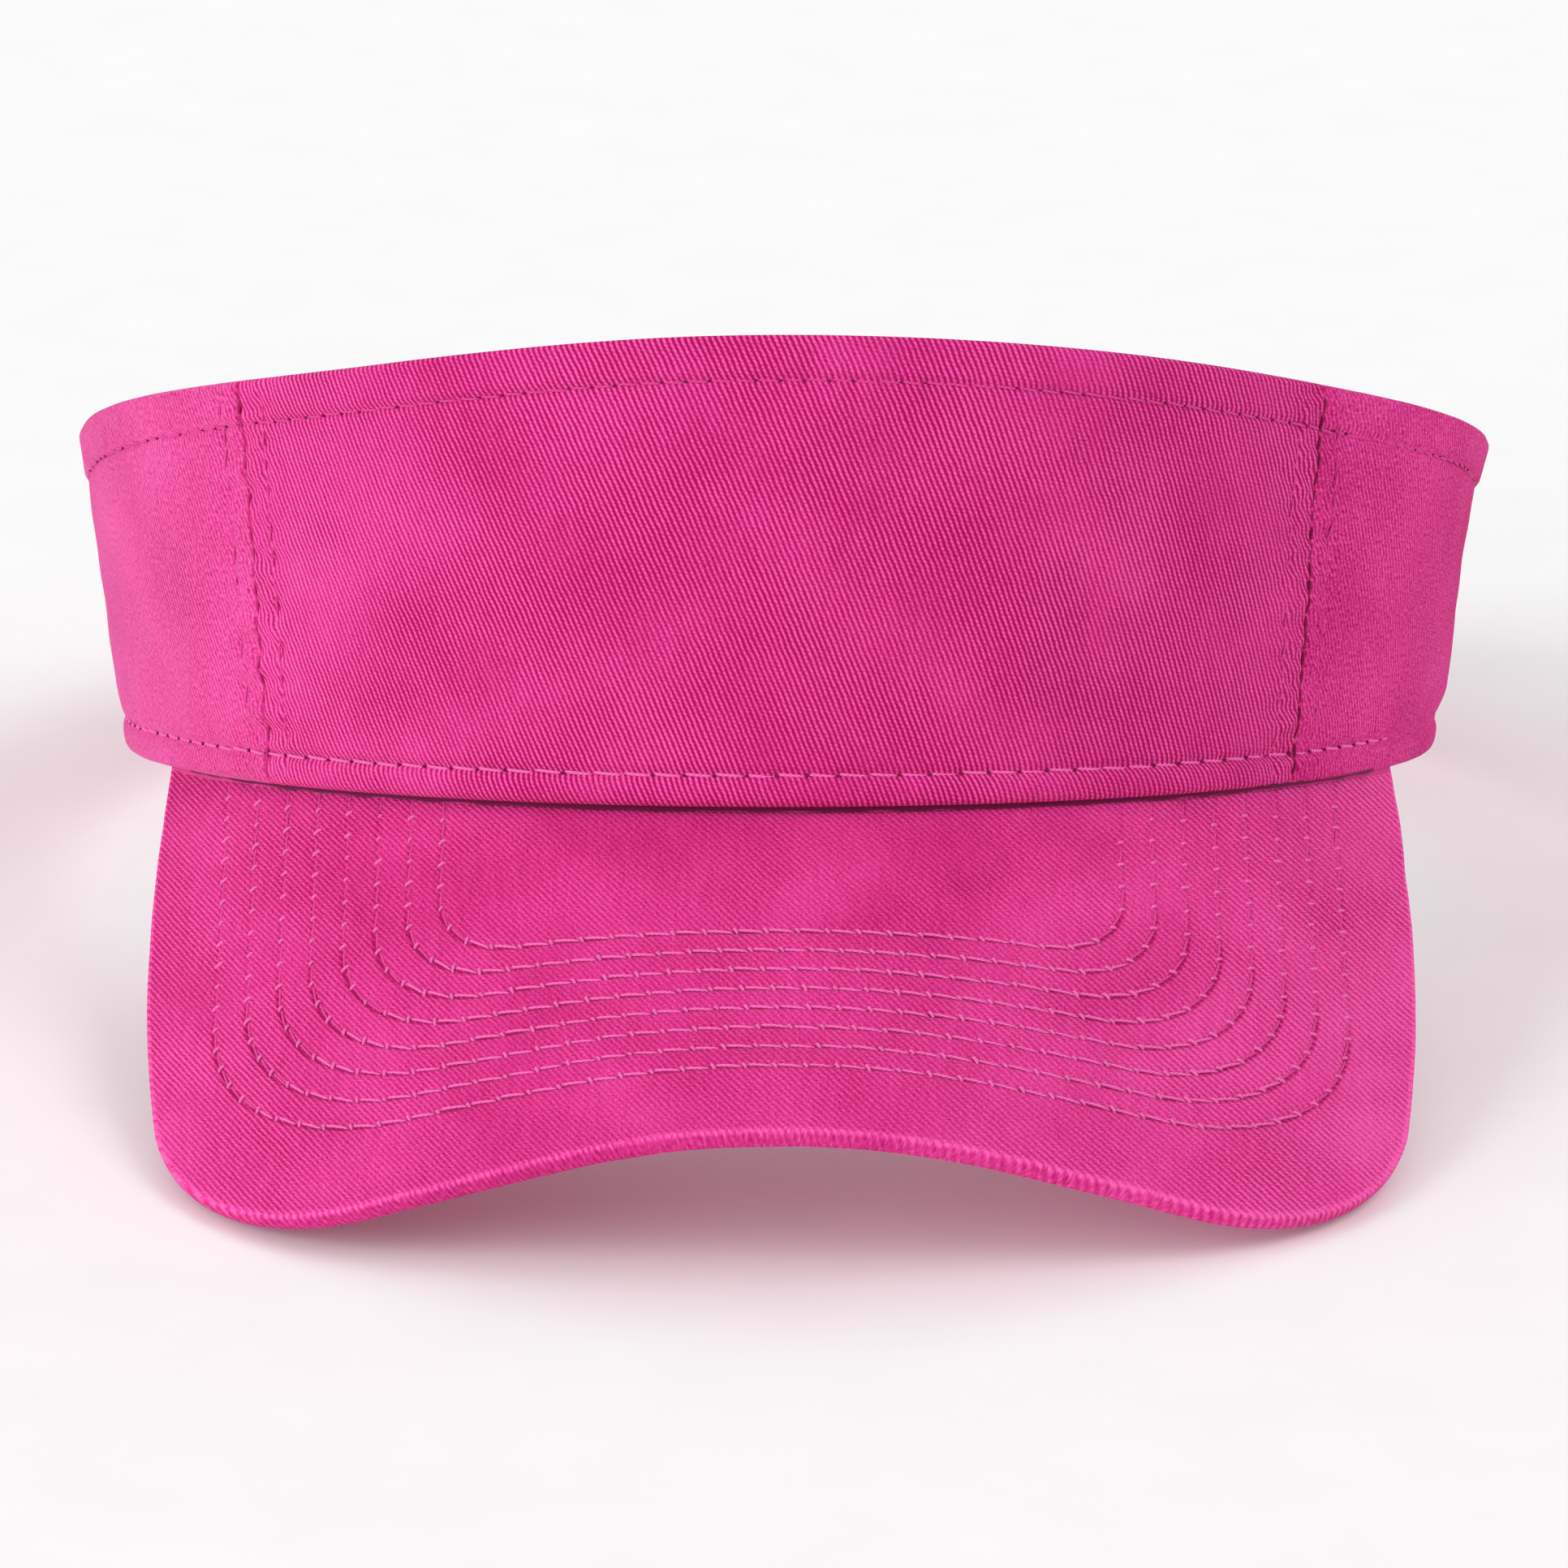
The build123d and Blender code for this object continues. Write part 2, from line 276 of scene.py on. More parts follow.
def top_height(angle):
    """Height of the band's top edge at an angle from the front."""
    angle = np.asarray(angle, float)
    height = np.full(angle.shape, SIDE_HEIGHT)
    for _ in range(12):
        y = -(BAND_RADIUS + height * FLARE) * np.cos(np.radians(angle))
        rise = np.maximum(FRONT_RISE_START - y, 0)
        height = SIDE_HEIGHT - TOP_SLOPE * y + FRONT_RISE * rise**2
    return height


def arc_length(angle):
    """Millimetres round the middle of the band's wall from the front."""
    return np.radians(angle) * (BAND_RADIUS + 30 * FLARE)


# ---------------------------------------------------------------- materials


class Nodes:
    """Short calls for building a node tree."""

    def __init__(self, name):
        self.material = bpy.data.materials.new(name)
        self.material.use_nodes = True
        self.tree = self.material.node_tree
        self.shader = self.tree.nodes["Principled BSDF"]

    def add(self, kind, **values):
        node = self.tree.nodes.new(kind)
        for key, value in values.items():
            setattr(node, key, value)
        return node

    def link(self, source, target):
        self.tree.links.new(source, target)

    def math(self, operation, a, b=None, c=None):
        node = self.add("ShaderNodeMath", operation=operation)
        for place, value in enumerate((a, b, c)):
            if value is None:
                continue
            if isinstance(value, (int, float)):
                node.inputs[place].default_value = value
            else:
                self.link(value, node.inputs[place])
        return node.outputs[0]

    def plus(self, value, other, factor):
        """A value, and a factor times another."""
        return self.math("MULTIPLY_ADD", other, factor, value)

    def about_half(self, value):
        return self.math("SUBTRACT", value, 0.5)

    def clamp(self, value):
        """A value held between 0 and 1."""
        return self.math("MINIMUM", self.math("MAXIMUM", value, 0.0), 1.0)

    def wave(self, value):
        """A sine between 0 and 1 that repeats with every whole number."""
        turned = self.math("SINE", self.math("MULTIPLY", value, 2 * math.pi))
        return self.plus(0.5, turned, 0.5)

    def axes(self, vector):
        """A vector's parts."""
        split = self.add("ShaderNodeSeparateXYZ")
        self.link(vector, split.inputs[0])
        return split.outputs

    def dot(self, vector, direction):
        node = self.add("ShaderNodeVectorMath", operation="DOT_PRODUCT")
        self.link(vector, node.inputs[0])
        node.inputs[1].default_value = direction
        return node.outputs["Value"]

    def noise(self, vector, scale, detail=2.0, stretch=None):
        if stretch is not None:
            mapping = self.add("ShaderNodeMapping")
            mapping.inputs["Rotation"].default_value[2] = stretch[0]
            mapping.inputs["Scale"].default_value = (stretch[1], stretch[2], 1.0)
            self.link(vector, mapping.inputs["Vector"])
            vector = mapping.outputs[0]
        node = self.add("ShaderNodeTexNoise")
        node.inputs["Scale"].default_value = scale
        node.inputs["Detail"].default_value = detail
        self.link(vector, node.inputs["Vector"])
        return node.outputs["Fac"]

    def ramp(self, value, stops):
        node = self.add("ShaderNodeValToRGB")
        ramp = node.color_ramp
        while len(ramp.elements) < len(stops):
            ramp.elements.new(0.5)
        for element, (place, colour) in zip(ramp.elements, stops):
            element.position = place
            element.color = (*colour, 1.0)
        self.link(value, node.inputs["Fac"])
        return node.outputs["Color"]

    def finish(self, colour, height, distance, roughness, sheen):
        bump_node = self.add("ShaderNodeBump")
        bump_node.inputs["Strength"].default_value = 1.0
        bump_node.inputs["Distance"].default_value = distance
        self.link(height, bump_node.inputs["Height"])
        self.link(bump_node.outputs[0], self.shader.inputs["Normal"])
        self.link(colour, self.shader.inputs["Base Color"])
        self.shader.inputs["Roughness"].default_value = roughness
        self.shader.inputs["Specular IOR Level"].default_value = 0.1
        self.shader.inputs["Sheen Weight"].default_value = sheen
        self.shader.inputs["Sheen Roughness"].default_value = 0.45
        self.shader.inputs["Sheen Tint"].default_value = (1.0, 0.45, 0.75, 1.0)
        return self.material


def shade(colour, factor):
    return tuple(channel * factor for channel in colour)


# the ramp's dark and light ends are painted shade between the twill's ridges and painted highlight
# on them
PINK_DARK = (0.40, 0.001, 0.09)
PINK = (0.735, 0.034, 0.262)
PINK_LIGHT = (1.0, 0.125, 0.47)
# distances in millimetres on the flat cloth
PAINTED_LIGHT_FROM, PAINTED_LIGHT_OVER = 48, 32       # painted light: the front panel is lighter towards its left seam
CLEAR_FROM, CLEAR_OVER = 25, 55     # the brim's ridges show more clearly on its wings, which painted light also makes lighter
NEAR_BAND = 42                      # painted shade: the brim is darker this close to the band
WING_LIGHT_OVER = 60                      # and one wing is lighter, by painted light


def twill(
    name,
    angle,
    period,
    depth=0.16,
    contrast=1.0,
    fuzz=0.35,
    seed=0.0,
    rows=False,
    sheen=0.12,
    grain=3.2,
    lift=0.0,
    painted_side_light=0.0,
):
    """Diagonal cotton twill; angle is the ridges' fall to the right, in degrees."""
    nodes = Nodes(name)
    uv = nodes.add("ShaderNodeUVMap", uv_map="weave").outputs[0]
    fall = math.radians(angle)
    offset = nodes.add("ShaderNodeVectorMath", operation="ADD")
    nodes.link(uv, offset.inputs[0])
    offset.inputs[1].default_value = (seed * 13.7, seed * 5.1, 0)
    place = offset.outputs[0]
    wander = nodes.noise(place, 0.35, 2.0)
    across = nodes.dot(place, (math.sin(fall) / period, math.cos(fall) / period, 0))
    across = nodes.plus(across, wander, 0.5)
    ridge = nodes.wave(across)
    along = nodes.dot(place, (0.2 / period, 1.35 / period, 0))
    along = nodes.plus(along, nodes.noise(place, 2.1, 1.0), 1.4)
    float_wave = nodes.math("SINE", nodes.math("MULTIPLY", along, 2 * math.pi))
    yarn = nodes.plus(0.8, float_wave, 0.22)
    woven = nodes.math("MULTIPLY", ridge, yarn)
    fluff = nodes.noise(place, grain, 4.0)
    slub = nodes.noise(place, 1.1, 2.0, stretch=(fall - math.pi / 2, 1.0, 0.16))
    broad = nodes.noise(place, 0.045, 2.0)
    height = nodes.plus(woven, fluff, fuzz)
    patch = nodes.plus(0.1, nodes.noise(place, 0.06, 3.0), 1.8)
    ridges = nodes.math("MULTIPLY", nodes.math("SUBTRACT", woven, 0.45), patch)
    if rows:
        shaded_groove, fold_highlight, strip = brim_marks(nodes, place)
        clear, near_band, lit_wing = brim_clarity_and_light(nodes, uv, strip)
        ridges = nodes.math("MULTIPLY", ridges, clear)
    # the ridges' shade and highlight are painted into the colour
    value = nodes.plus(0.5 + lift, ridges, 0.42 * contrast)
    if painted_side_light:
        # painted light: lighter towards the left seam
        to_side = nodes.plus(-PAINTED_LIGHT_FROM / PAINTED_LIGHT_OVER, nodes.axes(uv)[0], -1 / PAINTED_LIGHT_OVER)
        value = nodes.plus(value, nodes.math("MAXIMUM", to_side, 0.0), painted_side_light)
    value = nodes.plus(value, nodes.about_half(fluff), 0.4 + fuzz)
    value = nodes.plus(value, nodes.about_half(slub), 0.2)
    value = nodes.plus(value, nodes.about_half(broad), 0.5)
    if rows:
        # painted shade in the sunk line under each row of stitches
        value = nodes.plus(value, shaded_groove, -0.5)
        # painted highlight along the fold of the brim's edge
        value = nodes.plus(value, fold_highlight, 0.34)
        # painted shade on the edge's strip below the fold
        value = nodes.plus(value, strip, -0.03)
        # painted shade near the band
        value = nodes.plus(value, near_band, -0.08)
        # painted light on one wing
        value = nodes.plus(value, lit_wing, 0.13)
        # painted light: the brim is lighter towards its wings
        value = nodes.plus(nodes.math("SUBTRACT", value, 0.08), clear, 0.12)
        height = nodes.math("MULTIPLY", height, nodes.plus(1.0, strip, -0.45))
        height = nodes.plus(height, shaded_groove, -1.6)
    colour = nodes.ramp(value, [(0.12, PINK_DARK), (0.5, PINK), (0.92, PINK_LIGHT)])
    return nodes.finish(colour, height, depth * MM, 0.85, sheen)


def brim_marks(nodes, place):
    """The sunk line under each row of stitches, with painted shade, a painted highlight on the
    fold, and the edge's strip.

    The second UV layer counts the rows across, and measures from the fold of the brim's edge.
    """
    row, past_fold, _ = nodes.axes(nodes.add("ShaderNodeUVMap", uv_map="rows").outputs[0])
    shifted = nodes.math("ADD", row, 0.05)
    nearest = nodes.math("MINIMUM", nodes.math("ROUND", shifted), BRIM_ROWS - 1.0)
    nearest = nodes.math("MAXIMUM", nearest, 0.0)
    far = nodes.math("ABSOLUTE", nodes.math("SUBTRACT", shifted, nearest))
    wander = nodes.plus(far, nodes.noise(place, 1.3, 1.0), 0.05)
    shaded_groove = nodes.math("MAXIMUM", nodes.plus(1.0, wander, -8.0), 0.0)
    on_side = nodes.axes(nodes.add("ShaderNodeUVMap", uv_map="sides").outputs[0])[0]
    shaded_groove = nodes.math("MULTIPLY", shaded_groove, nodes.plus(1.0, on_side, -0.8))
    from_fold = nodes.math("ABSOLUTE", nodes.math("SUBTRACT", past_fold, 0.2))
    patchy = nodes.plus(0.2, nodes.noise(place, 0.9, 2.0), 1.2)
    fold_highlight = nodes.math("MAXIMUM", nodes.plus(1.0, from_fold, -1.1), 0.0)
    fold_highlight = nodes.math("MULTIPLY", fold_highlight, patchy)
    down = nodes.math("MULTIPLY", nodes.math("SUBTRACT", past_fold, 0.9), 1.5)
    return shaded_groove, fold_highlight, nodes.clamp(down)


def brim_clarity_and_light(nodes, uv, strip):
    """How clearly the brim's ridges show, how near the band is, for painted shade, and painted
    light on one wing.
    """
    x, y, _ = nodes.axes(uv)
    away = nodes.math("ABSOLUTE", x)
    far = nodes.clamp(nodes.plus(-CLEAR_FROM / CLEAR_OVER, away, 1 / CLEAR_OVER))
    clear = nodes.plus(0.6, far, 0.45)
    clear = nodes.math("MULTIPLY", clear, nodes.plus(1.0, strip, -0.45))
    near_band = nodes.clamp(nodes.plus(1.0, y, 1 / NEAR_BAND))
    lit_wing = nodes.math("MAXIMUM", nodes.plus(-0.3, x, 1 / WING_LIGHT_OVER), 0.0)
    return clear, near_band, lit_wing


def thread_material(name, light):
    """Sewing thread with a fine twist."""
    nodes = Nodes(name)
    uv = nodes.add("ShaderNodeUVMap", uv_map="weave").outputs[0]
    height = nodes.wave(nodes.dot(uv, (1.9, 3.1, 0)))
    fluff = nodes.noise(uv, 2.5, 2.0)
    value = nodes.plus(height, nodes.about_half(fluff), 0.6)
    stops = [(0.0, shade(light, 0.62)), (0.6, light), (1.0, shade(light, 1.12))]
    colour = nodes.ramp(value, stops)
    return nodes.finish(colour, height, 0.05 * MM, 0.6, 0.3)


def cloth_material(name, dark, light, pitch=0.7, depth=0.08, roughness=0.9, sheen=0.1):
    """Plain weave, for linings, tapes and the label."""
    nodes = Nodes(name)
    uv = nodes.add("ShaderNodeUVMap", uv_map="weave").outputs[0]
    warp = nodes.math("SINE", nodes.dot(uv, (2 * math.pi / pitch, 0, 0)))
    weft = nodes.math("SINE", nodes.dot(uv, (0, 2 * math.pi / pitch, 0)))
    woven = nodes.plus(0.5, nodes.math("MULTIPLY", warp, weft), 0.5)
    fluff = nodes.noise(uv, 1.7, 3.0)
    value = nodes.plus(woven, nodes.about_half(fluff), 0.8)
    colour = nodes.ramp(value, [(0.0, dark), (1.0, light)])
    height = nodes.plus(woven, fluff, 0.6)
    return nodes.finish(colour, height, depth * MM, roughness, sheen)


def board_material():
    """Matt moulded plastic with a fine grain."""
    nodes = Nodes("brim_board_plastic")
    place = nodes.add("ShaderNodeTexCoord").outputs["Object"]
    grain = nodes.noise(place, 900.0, 3.0)
    colour = nodes.ramp(grain, [(0.3, (0.70, 0.70, 0.68)), (0.7, (0.80, 0.80, 0.78))])
    return nodes.finish(colour, grain, 0.05 * MM, 0.5, 0.0)


front_twill = twill("front_twill", 67, 0.75, depth=0.2, contrast=2.2, painted_side_light=0.17)
side_look = {"depth": 0.16, "contrast": 1.0, "fuzz": 0.95, "seed": 1, "grain": 1.8}
# painted light: lit and shaded copies of one side twill; the lit copy is lifted lighter and has
# more sheen
lit_twill = twill("lit_side_twill", 66, 0.75, sheen=0.5, lift=0.11, **side_look)
shaded_twill = twill("shaded_side_twill", 66, 0.75, sheen=0.04, **side_look)
brim_twill = twill("brim_twill", 52, 0.79, contrast=1.3, fuzz=0.65, seed=2, rows=True)
under_twill = twill("under_twill", 52, 0.82, contrast=1.4, seed=3, rows=True)
strap_twill = twill("strap_twill", 60, 0.75, contrast=1.6, seed=4)
# painted highlight: a slightly brighter copy of the thread, for the knots at the needle holes
thread_bright = thread_material("thread_bright", (1.0, 0.19, 0.55))
thread_light = thread_material("thread_light", (1.0, 0.17, 0.55))
thread_mid = thread_material("thread_mid", (0.86, 0.07, 0.36))
thread_dark = thread_material("thread_dark", (0.62, 0.03, 0.21))
# painted shade: dark thread tubes put at the needle holes
painted_hole_shade = thread_material("needle_hole_shade", (0.26, 0.002, 0.05))
# painted shadow: dark stitches for the dip where the panels meet
painted_seam_shadow = thread_material("seam_shadow_thread", (0.30, 0.003, 0.06))
# painted shadow: near-black cloth for the crease under the band's roll
crease_shadow_dark = thread_material("brim_seam_cord", (0.13, 0.001, 0.04))
lining = cloth_material("sweatband_cotton", (0.45, 0.02, 0.14), (0.80, 0.07, 0.30), pitch=0.55)
tape_cloth = cloth_material("binding_tape", (0.48, 0.02, 0.15), (0.85, 0.09, 0.33), pitch=0.9)
buckram_cloth = cloth_material(
    "buckram", (0.55, 0.54, 0.52), (0.90, 0.89, 0.86), pitch=1.1, depth=0.2
)
felt_cloth = cloth_material("felt", (0.62, 0.60, 0.57), (0.85, 0.83, 0.80), pitch=3.0, depth=0.3)
label_cloth = cloth_material(
    "label_satin", (0.78, 0.77, 0.75), (0.93, 0.92, 0.90), pitch=0.35, depth=0.03
)
loop_cloth = cloth_material(
    "loop_pile", (0.45, 0.02, 0.14), (0.85, 0.10, 0.36), pitch=0.9, depth=0.25, sheen=0.3
)
hook_cloth = cloth_material(
    "hook_base", (0.42, 0.015, 0.12), (0.72, 0.05, 0.25), pitch=0.6, depth=0.06, roughness=0.7
)
hook_plastic = cloth_material(
    "hook_plastic", (0.55, 0.03, 0.19), (0.75, 0.07, 0.29), 0.3, 0.02, roughness=0.4
)
facing_twill = twill("facing_twill", -65, 0.75, contrast=1.6, seed=5)


# ---------------------------------------------------------------- band panels


def dimples(along, pitch):
    """1 at the needle holes of a row of stitches, 0 half-way between them."""
    return 0.5 + 0.5 * np.cos(2 * math.pi * along / pitch)


def panel_out(angle, height, top, ends):
    """How far the panel's outer face stands out of the plain wall, in millimetres."""
    u = arc_length(angle)
    below_top = top - height
    out = 0.16 * noise(u, height, 34, 11) + 0.07 * noise(u, height, 11, 12)
    # the hem is two layers thicker above its row of stitches, and flicks out at the ears
    hem = smooth_step(-below_top, -HEM_DEPTH - 0.2, -HEM_DEPTH + 1.3)
    ears = np.sin(np.radians(np.clip(np.abs(angle), 0, 110))) ** 4
    flick = np.where(angle < 0, HEM_FLICK_RIGHT, HEM_FLICK_LEFT) * ears
    out += hem * (HEM_RAISE + flick * np.maximum(HEM_DEPTH - below_top, 0))
    out -= (0.26 + 0.2 * dimples(u, HEM_STITCH)) * bump(below_top - HEM_DEPTH, 0.42)
    pucker = noise(u, 0.15 * height, 4.2, 13)
    out += 0.12 * pucker * bump(below_top - HEM_DEPTH + 1.6, 1.6)
    out += 0.10 * pucker * bump(below_top - HEM_DEPTH - 1.6, 1.8)
    # the lower edge is a round roll below its row of stitches
    above_row = height - EDGE_ROW_HEIGHT
    inside = np.clip(1 - ((height - ROLL_MIDDLE) / (EDGE_ROW_HEIGHT - 2.1)) ** 2, 0, 1)
    in_front = np.cos(np.radians(angle)) ** 2
    out += (ROLL_OUT + ROLL_OUT_FRONT * in_front) * np.sqrt(inside)
    at_side = np.sin(np.radians(np.clip(np.abs(angle), 0, 90))) ** 4
    tuck = np.where(angle < 0, TUCK_RIGHT, TUCK_LEFT)
    out -= tuck * at_side * smooth_step(-height, -9.0, -3.5)
    out -= (0.45 + 0.25 * dimples(u, EDGE_STITCH)) * bump(above_row, 0.7)
    out += 0.14 * noise(u, 0.2 * height, 5.0, 14) * bump(above_row - 1.8, 1.8)
    out += 0.08 * noise(u, 0.2 * height, 3.0, 17) * inside
    # the panels dip where they meet, and the rows beside the seam pucker the cloth
    for seam in (-SEAM_ANGLE, SEAM_ANGLE):
        far = np.abs(u - arc_length(seam))
        out -= (0.10 + 0.16 * dimples(height, SEAM_STITCH)) * bump(far - SEAM_ROW_OFFSET, 0.45)
        puckers = 0.38 * noise(0.3 * u, height, 4.2, 15) + 0.2 * noise(u, height, 2.4, 18)
        out += puckers * smooth_step(-far, -PUCKER_REACH, -2.0)
        out += SEAM_RAISE * smooth_step(-far, -5.2, -3.2)
    return out * ends


def band_panel(name, start, end, material, step):
    """One panel of the band, with its top hem, lower roll and turned-in ends."""
    length = arc_length(end) - arc_length(start)
    u = spaced(length, step, 0.7)
    angle = start + (end - start) * u / length
    top = top_height(angle)
    low = -0.05
    rise = spaced(float(top.max()) - low, step, 0.9)
    share = rise / rise[-1]
    # rows keep their distance to the hem and to the roll, and stretch in between
    squeezed = np.clip((share - 0.1) / 0.76, 0, 1)
    height = low + rise[None, :] - (rise[-1] - (top[:, None] - low)) * squeezed[None, :]
    angle = np.repeat(angle[:, None], len(rise), axis=1)
    top = np.repeat(top[:, None], len(rise), axis=1)
    side = np.minimum(u, length - u)[:, None]
    ends = smooth_step(side, -0.5, 0.7)
    out = panel_out(angle, height, top, ends)
    back = -PANEL_THICKNESS - 0.45 * smooth_step(height - top, -HEM_DEPTH - 1.2, -HEM_DEPTH - 0.6)
    back = back - 0.05 * noise(arc_length(angle), height, 18, 16)
    round_off = rim_factor(side, 0.5) * rim_factor(top - height, 0.95)
    round_off = round_off * rim_factor(height - low, 1.0)
    middle = (out + back) / 2
    half = (out - back) / 2 * round_off
    uv = np.stack([arc_length(angle), height], axis=-1)
    outer = wall_points(angle, height, middle + half)
    inner = wall_points(angle, height, middle - half)
    return slab(name, outer, inner, uv, material)


for node, slot, start, end, cloth, step in (
    ("front_panel", "twill_panel", -SEAM_ANGLE, SEAM_ANGLE, front_twill, 0.5),
    ("left_side_panel", "twill_side", SEAM_ANGLE, PANEL_END, shaded_twill, 0.6),
    ("right_side_panel", "twill_side", -PANEL_END, -SEAM_ANGLE, lit_twill, 0.6),
):
    add(band_panel(f"{node}_cloth", start, end, cloth, step), node)

# ---------------------------------------------------------------- brim surface

FORWARDS = np.array((0.0, -math.cos(PITCH), -math.sin(PITCH)))
UPWARDS = np.array((0.0, -math.sin(PITCH), math.cos(PITCH)))
BRIM_ORIGIN = np.array((0.0, -BAND_RADIUS, 0.0))


def arch_drop(x):
    """How far the brim's outer edge lies below its middle line."""
    slope = ARCH_HALF_WIDTH / ARCH_RADIUS
    x = np.abs(x)
    middle = np.minimum(x, ARCH_HALF_WIDTH)
    drop = ARCH_RADIUS - np.sqrt(ARCH_RADIUS**2 - middle**2)
    start = WING_RADIUS * slope
    out = x - middle
    wing = WING_RADIUS * math.sqrt(1 - slope**2) - np.sqrt(WING_RADIUS**2 - (out + start) ** 2)
    return drop + np.where(out > 0, wing, 0.0)


def tangent_circle(first, first_radius, second, second_radius, radius):
    """Centre of the circle that touches two larger circles from inside, to the upper right."""
    a, b = first_radius - radius, second_radius - radius
    gap = np.subtract(second, first)
    distance = math.hypot(*gap)
    along = (a * a - b * b + distance * distance) / (2 * distance)
    off = math.sqrt(a * a - along * along)
    unit = gap / distance
    normal = np.array((-unit[1], unit[0]))
    choices = [np.add(first, unit * along + normal * side * off) for side in (-1, 1)]
    return max(choices, key=lambda centre: centre[0] + centre[1])


SIDE_CENTRE = np.array((BRIM_HALF_WIDTH - SIDE_RADIUS, WIDEST_AT))
BEHIND_CENTRE = np.array((BRIM_HALF_WIDTH - SIDE_RADIUS_BEHIND, WIDEST_AT))
FRONT_CENTRE = np.array((0.0, BRIM_LENGTH - FRONT_RADIUS))
CORNER_CENTRE = tangent_circle(
    SIDE_CENTRE, SIDE_RADIUS, FRONT_CENTRE, FRONT_RADIUS, CORNER_RADIUS
)


def front_reach(x):
    """Where the brim's front and corners lie, square on to the brim."""
    x = np.abs(x)
    away = CORNER_CENTRE - FRONT_CENTRE
    tangent_x = FRONT_RADIUS * away[0] / math.hypot(*away)
    bow = FRONT_CENTRE[1] + np.sqrt(FRONT_RADIUS**2 - x**2)
    inside = np.maximum(CORNER_RADIUS**2 - (x - CORNER_CENTRE[0]) ** 2, 0)
    return np.where(x <= tangent_x, bow, CORNER_CENTRE[1] + np.sqrt(inside))


def brim_height(x, v):
    """Height of the brim's top face over its middle plane, square on to the brim."""
    x = np.abs(x)
    held = np.minimum(x, ROOT_HALF_WIDTH - 1.0)

    def slice_height(place):
        lift = arch_drop(place + 0.5) - arch_drop(np.abs(place - 0.5))
        root_y = BAND_RADIUS - np.sqrt(ROOT_RADIUS**2 - place**2)
        root_v = -root_y * math.cos(PITCH) + ROOT_DROP * math.sin(PITCH)
        root_w = -root_y * math.sin(PITCH) - ROOT_DROP * math.cos(PITCH)
        edge_v = front_reach(place)
        edge_w = -arch_drop(place) + BRIM_THICKNESS * np.hypot(lift, 1)
        return root_w + (edge_w - root_w) * (v - root_v) / (edge_v - root_v)

    base = slice_height(held)
    return base + (x - held) * (base - slice_height(held - 1.0))


def brim_points(x, v, over=0.0):
    """Points of the brim's top face, raised over it along the brim's middle normal."""
    w = brim_height(x, v) + over
    points = BRIM_ORIGIN + v[..., None] * FORWARDS + w[..., None] * UPWARDS
    points[..., 0] += x
    return points


def brim_frame(x, v):
    """Points of the top face with the unit normals there."""
    points = brim_points(x, v)
    du = brim_points(x + 0.3, v) - brim_points(x - 0.3, v)
    dv = brim_points(x, v + 0.3) - brim_points(x, v - 0.3)
    normals = np.cross(dv, du)
    normals /= np.linalg.norm(normals, axis=-1, keepdims=True)
    normals *= np.sign(normals @ UPWARDS)[..., None]
    return points, normals


def outline(share):
    """Points of the brim's outline square on to it, from one root corner to the other."""
    root = math.asin((ROOT_CORNER - BEHIND_CENTRE[1]) / SIDE_RADIUS_BEHIND)
    to_corner = CORNER_CENTRE - SIDE_CENTRE
    side_end = math.atan2(to_corner[1], to_corner[0])
    to_front = CORNER_CENTRE - FRONT_CENTRE
    corner_end = math.atan2(to_front[1], to_front[0])
    arcs = [
        (BEHIND_CENTRE, SIDE_RADIUS_BEHIND, root, 0.0),
        (SIDE_CENTRE, SIDE_RADIUS, 0.0, side_end),
        (CORNER_CENTRE, CORNER_RADIUS, side_end, corner_end),
        (FRONT_CENTRE, FRONT_RADIUS, corner_end, math.pi / 2),
    ]
    lengths = np.array([radius * (b - a) for _, radius, a, b in arcs])
    ends = np.cumsum(lengths)
    place = (1 - np.abs(share)) * ends[-1]
    x = np.zeros(share.shape)
    v = np.zeros(share.shape)
    heading = np.zeros(share.shape)
    for (centre, radius, a, _), last, length in zip(arcs, ends, lengths):
        here = (place >= last - length - 1e-9) & (place <= last + 1e-9)
        turn = a + (place - last + length) / radius
        x = np.where(here, centre[0] + radius * np.cos(turn), x)
        v = np.where(here, centre[1] + radius * np.sin(turn), v)
        heading = np.where(here, turn, heading)
    side = np.where(share < 0, -1.0, 1.0)
    outward = np.stack([side * np.cos(heading), np.sin(heading)], axis=-1)
    return np.stack([side * x, v], axis=-1), outward


# ---------------------------------------------------------------- brim stitch rows


def row_shape(row):
    """Half width, front, corner radius and bow of one U of stitches."""
    half = ROW_SIDE - row * ROW_SIDE_GAP
    reach = ROW_FRONT - row * ROW_FRONT_GAP
    radius = ROW_RADIUS - row * ROW_RADIUS_STEP
    bow = ROW_BOW - row * ROW_BOW_STEP
    centre_v = reach - bow + math.sqrt((bow - radius) ** 2 - (half - radius) ** 2)
    return half, reach, radius, bow, centre_v


def row_distance(x, v, row):
    """Signed distance from a U of stitches, positive inside it."""
    half, reach, radius, bow, centre_v = row_shape(row)
    x = np.abs(x)
    corner_x = half - radius
    to_side = half - x
    to_front = bow - np.hypot(x, v - (reach - bow))
    to_corner = radius - np.hypot(x - corner_x, v - centre_v)
    heading = math.atan2(centre_v - (reach - bow), corner_x)
    in_corner = (v > centre_v) & (np.arctan2(v - (reach - bow), x) < heading)
    ahead = np.where(in_corner, to_corner, to_front)
    return np.where(v <= centre_v, np.minimum(to_side, to_front), ahead)


def row_number(x, v):
    """A smooth count across the rows: whole at each row, below 0 outside them all."""
    distances = [row_distance(x, v, row) for row in range(BRIM_ROWS)]
    number = distances[0] / ROW_SIDE_GAP
    for row in range(BRIM_ROWS - 1):
        near, far = distances[row], distances[row + 1]
        number = np.where(near >= 0, row + near / np.maximum(near - far, 0.1), number)
    return np.where(distances[-1] >= 0, BRIM_ROWS - 1 + distances[-1] / ROW_SIDE_GAP, number)


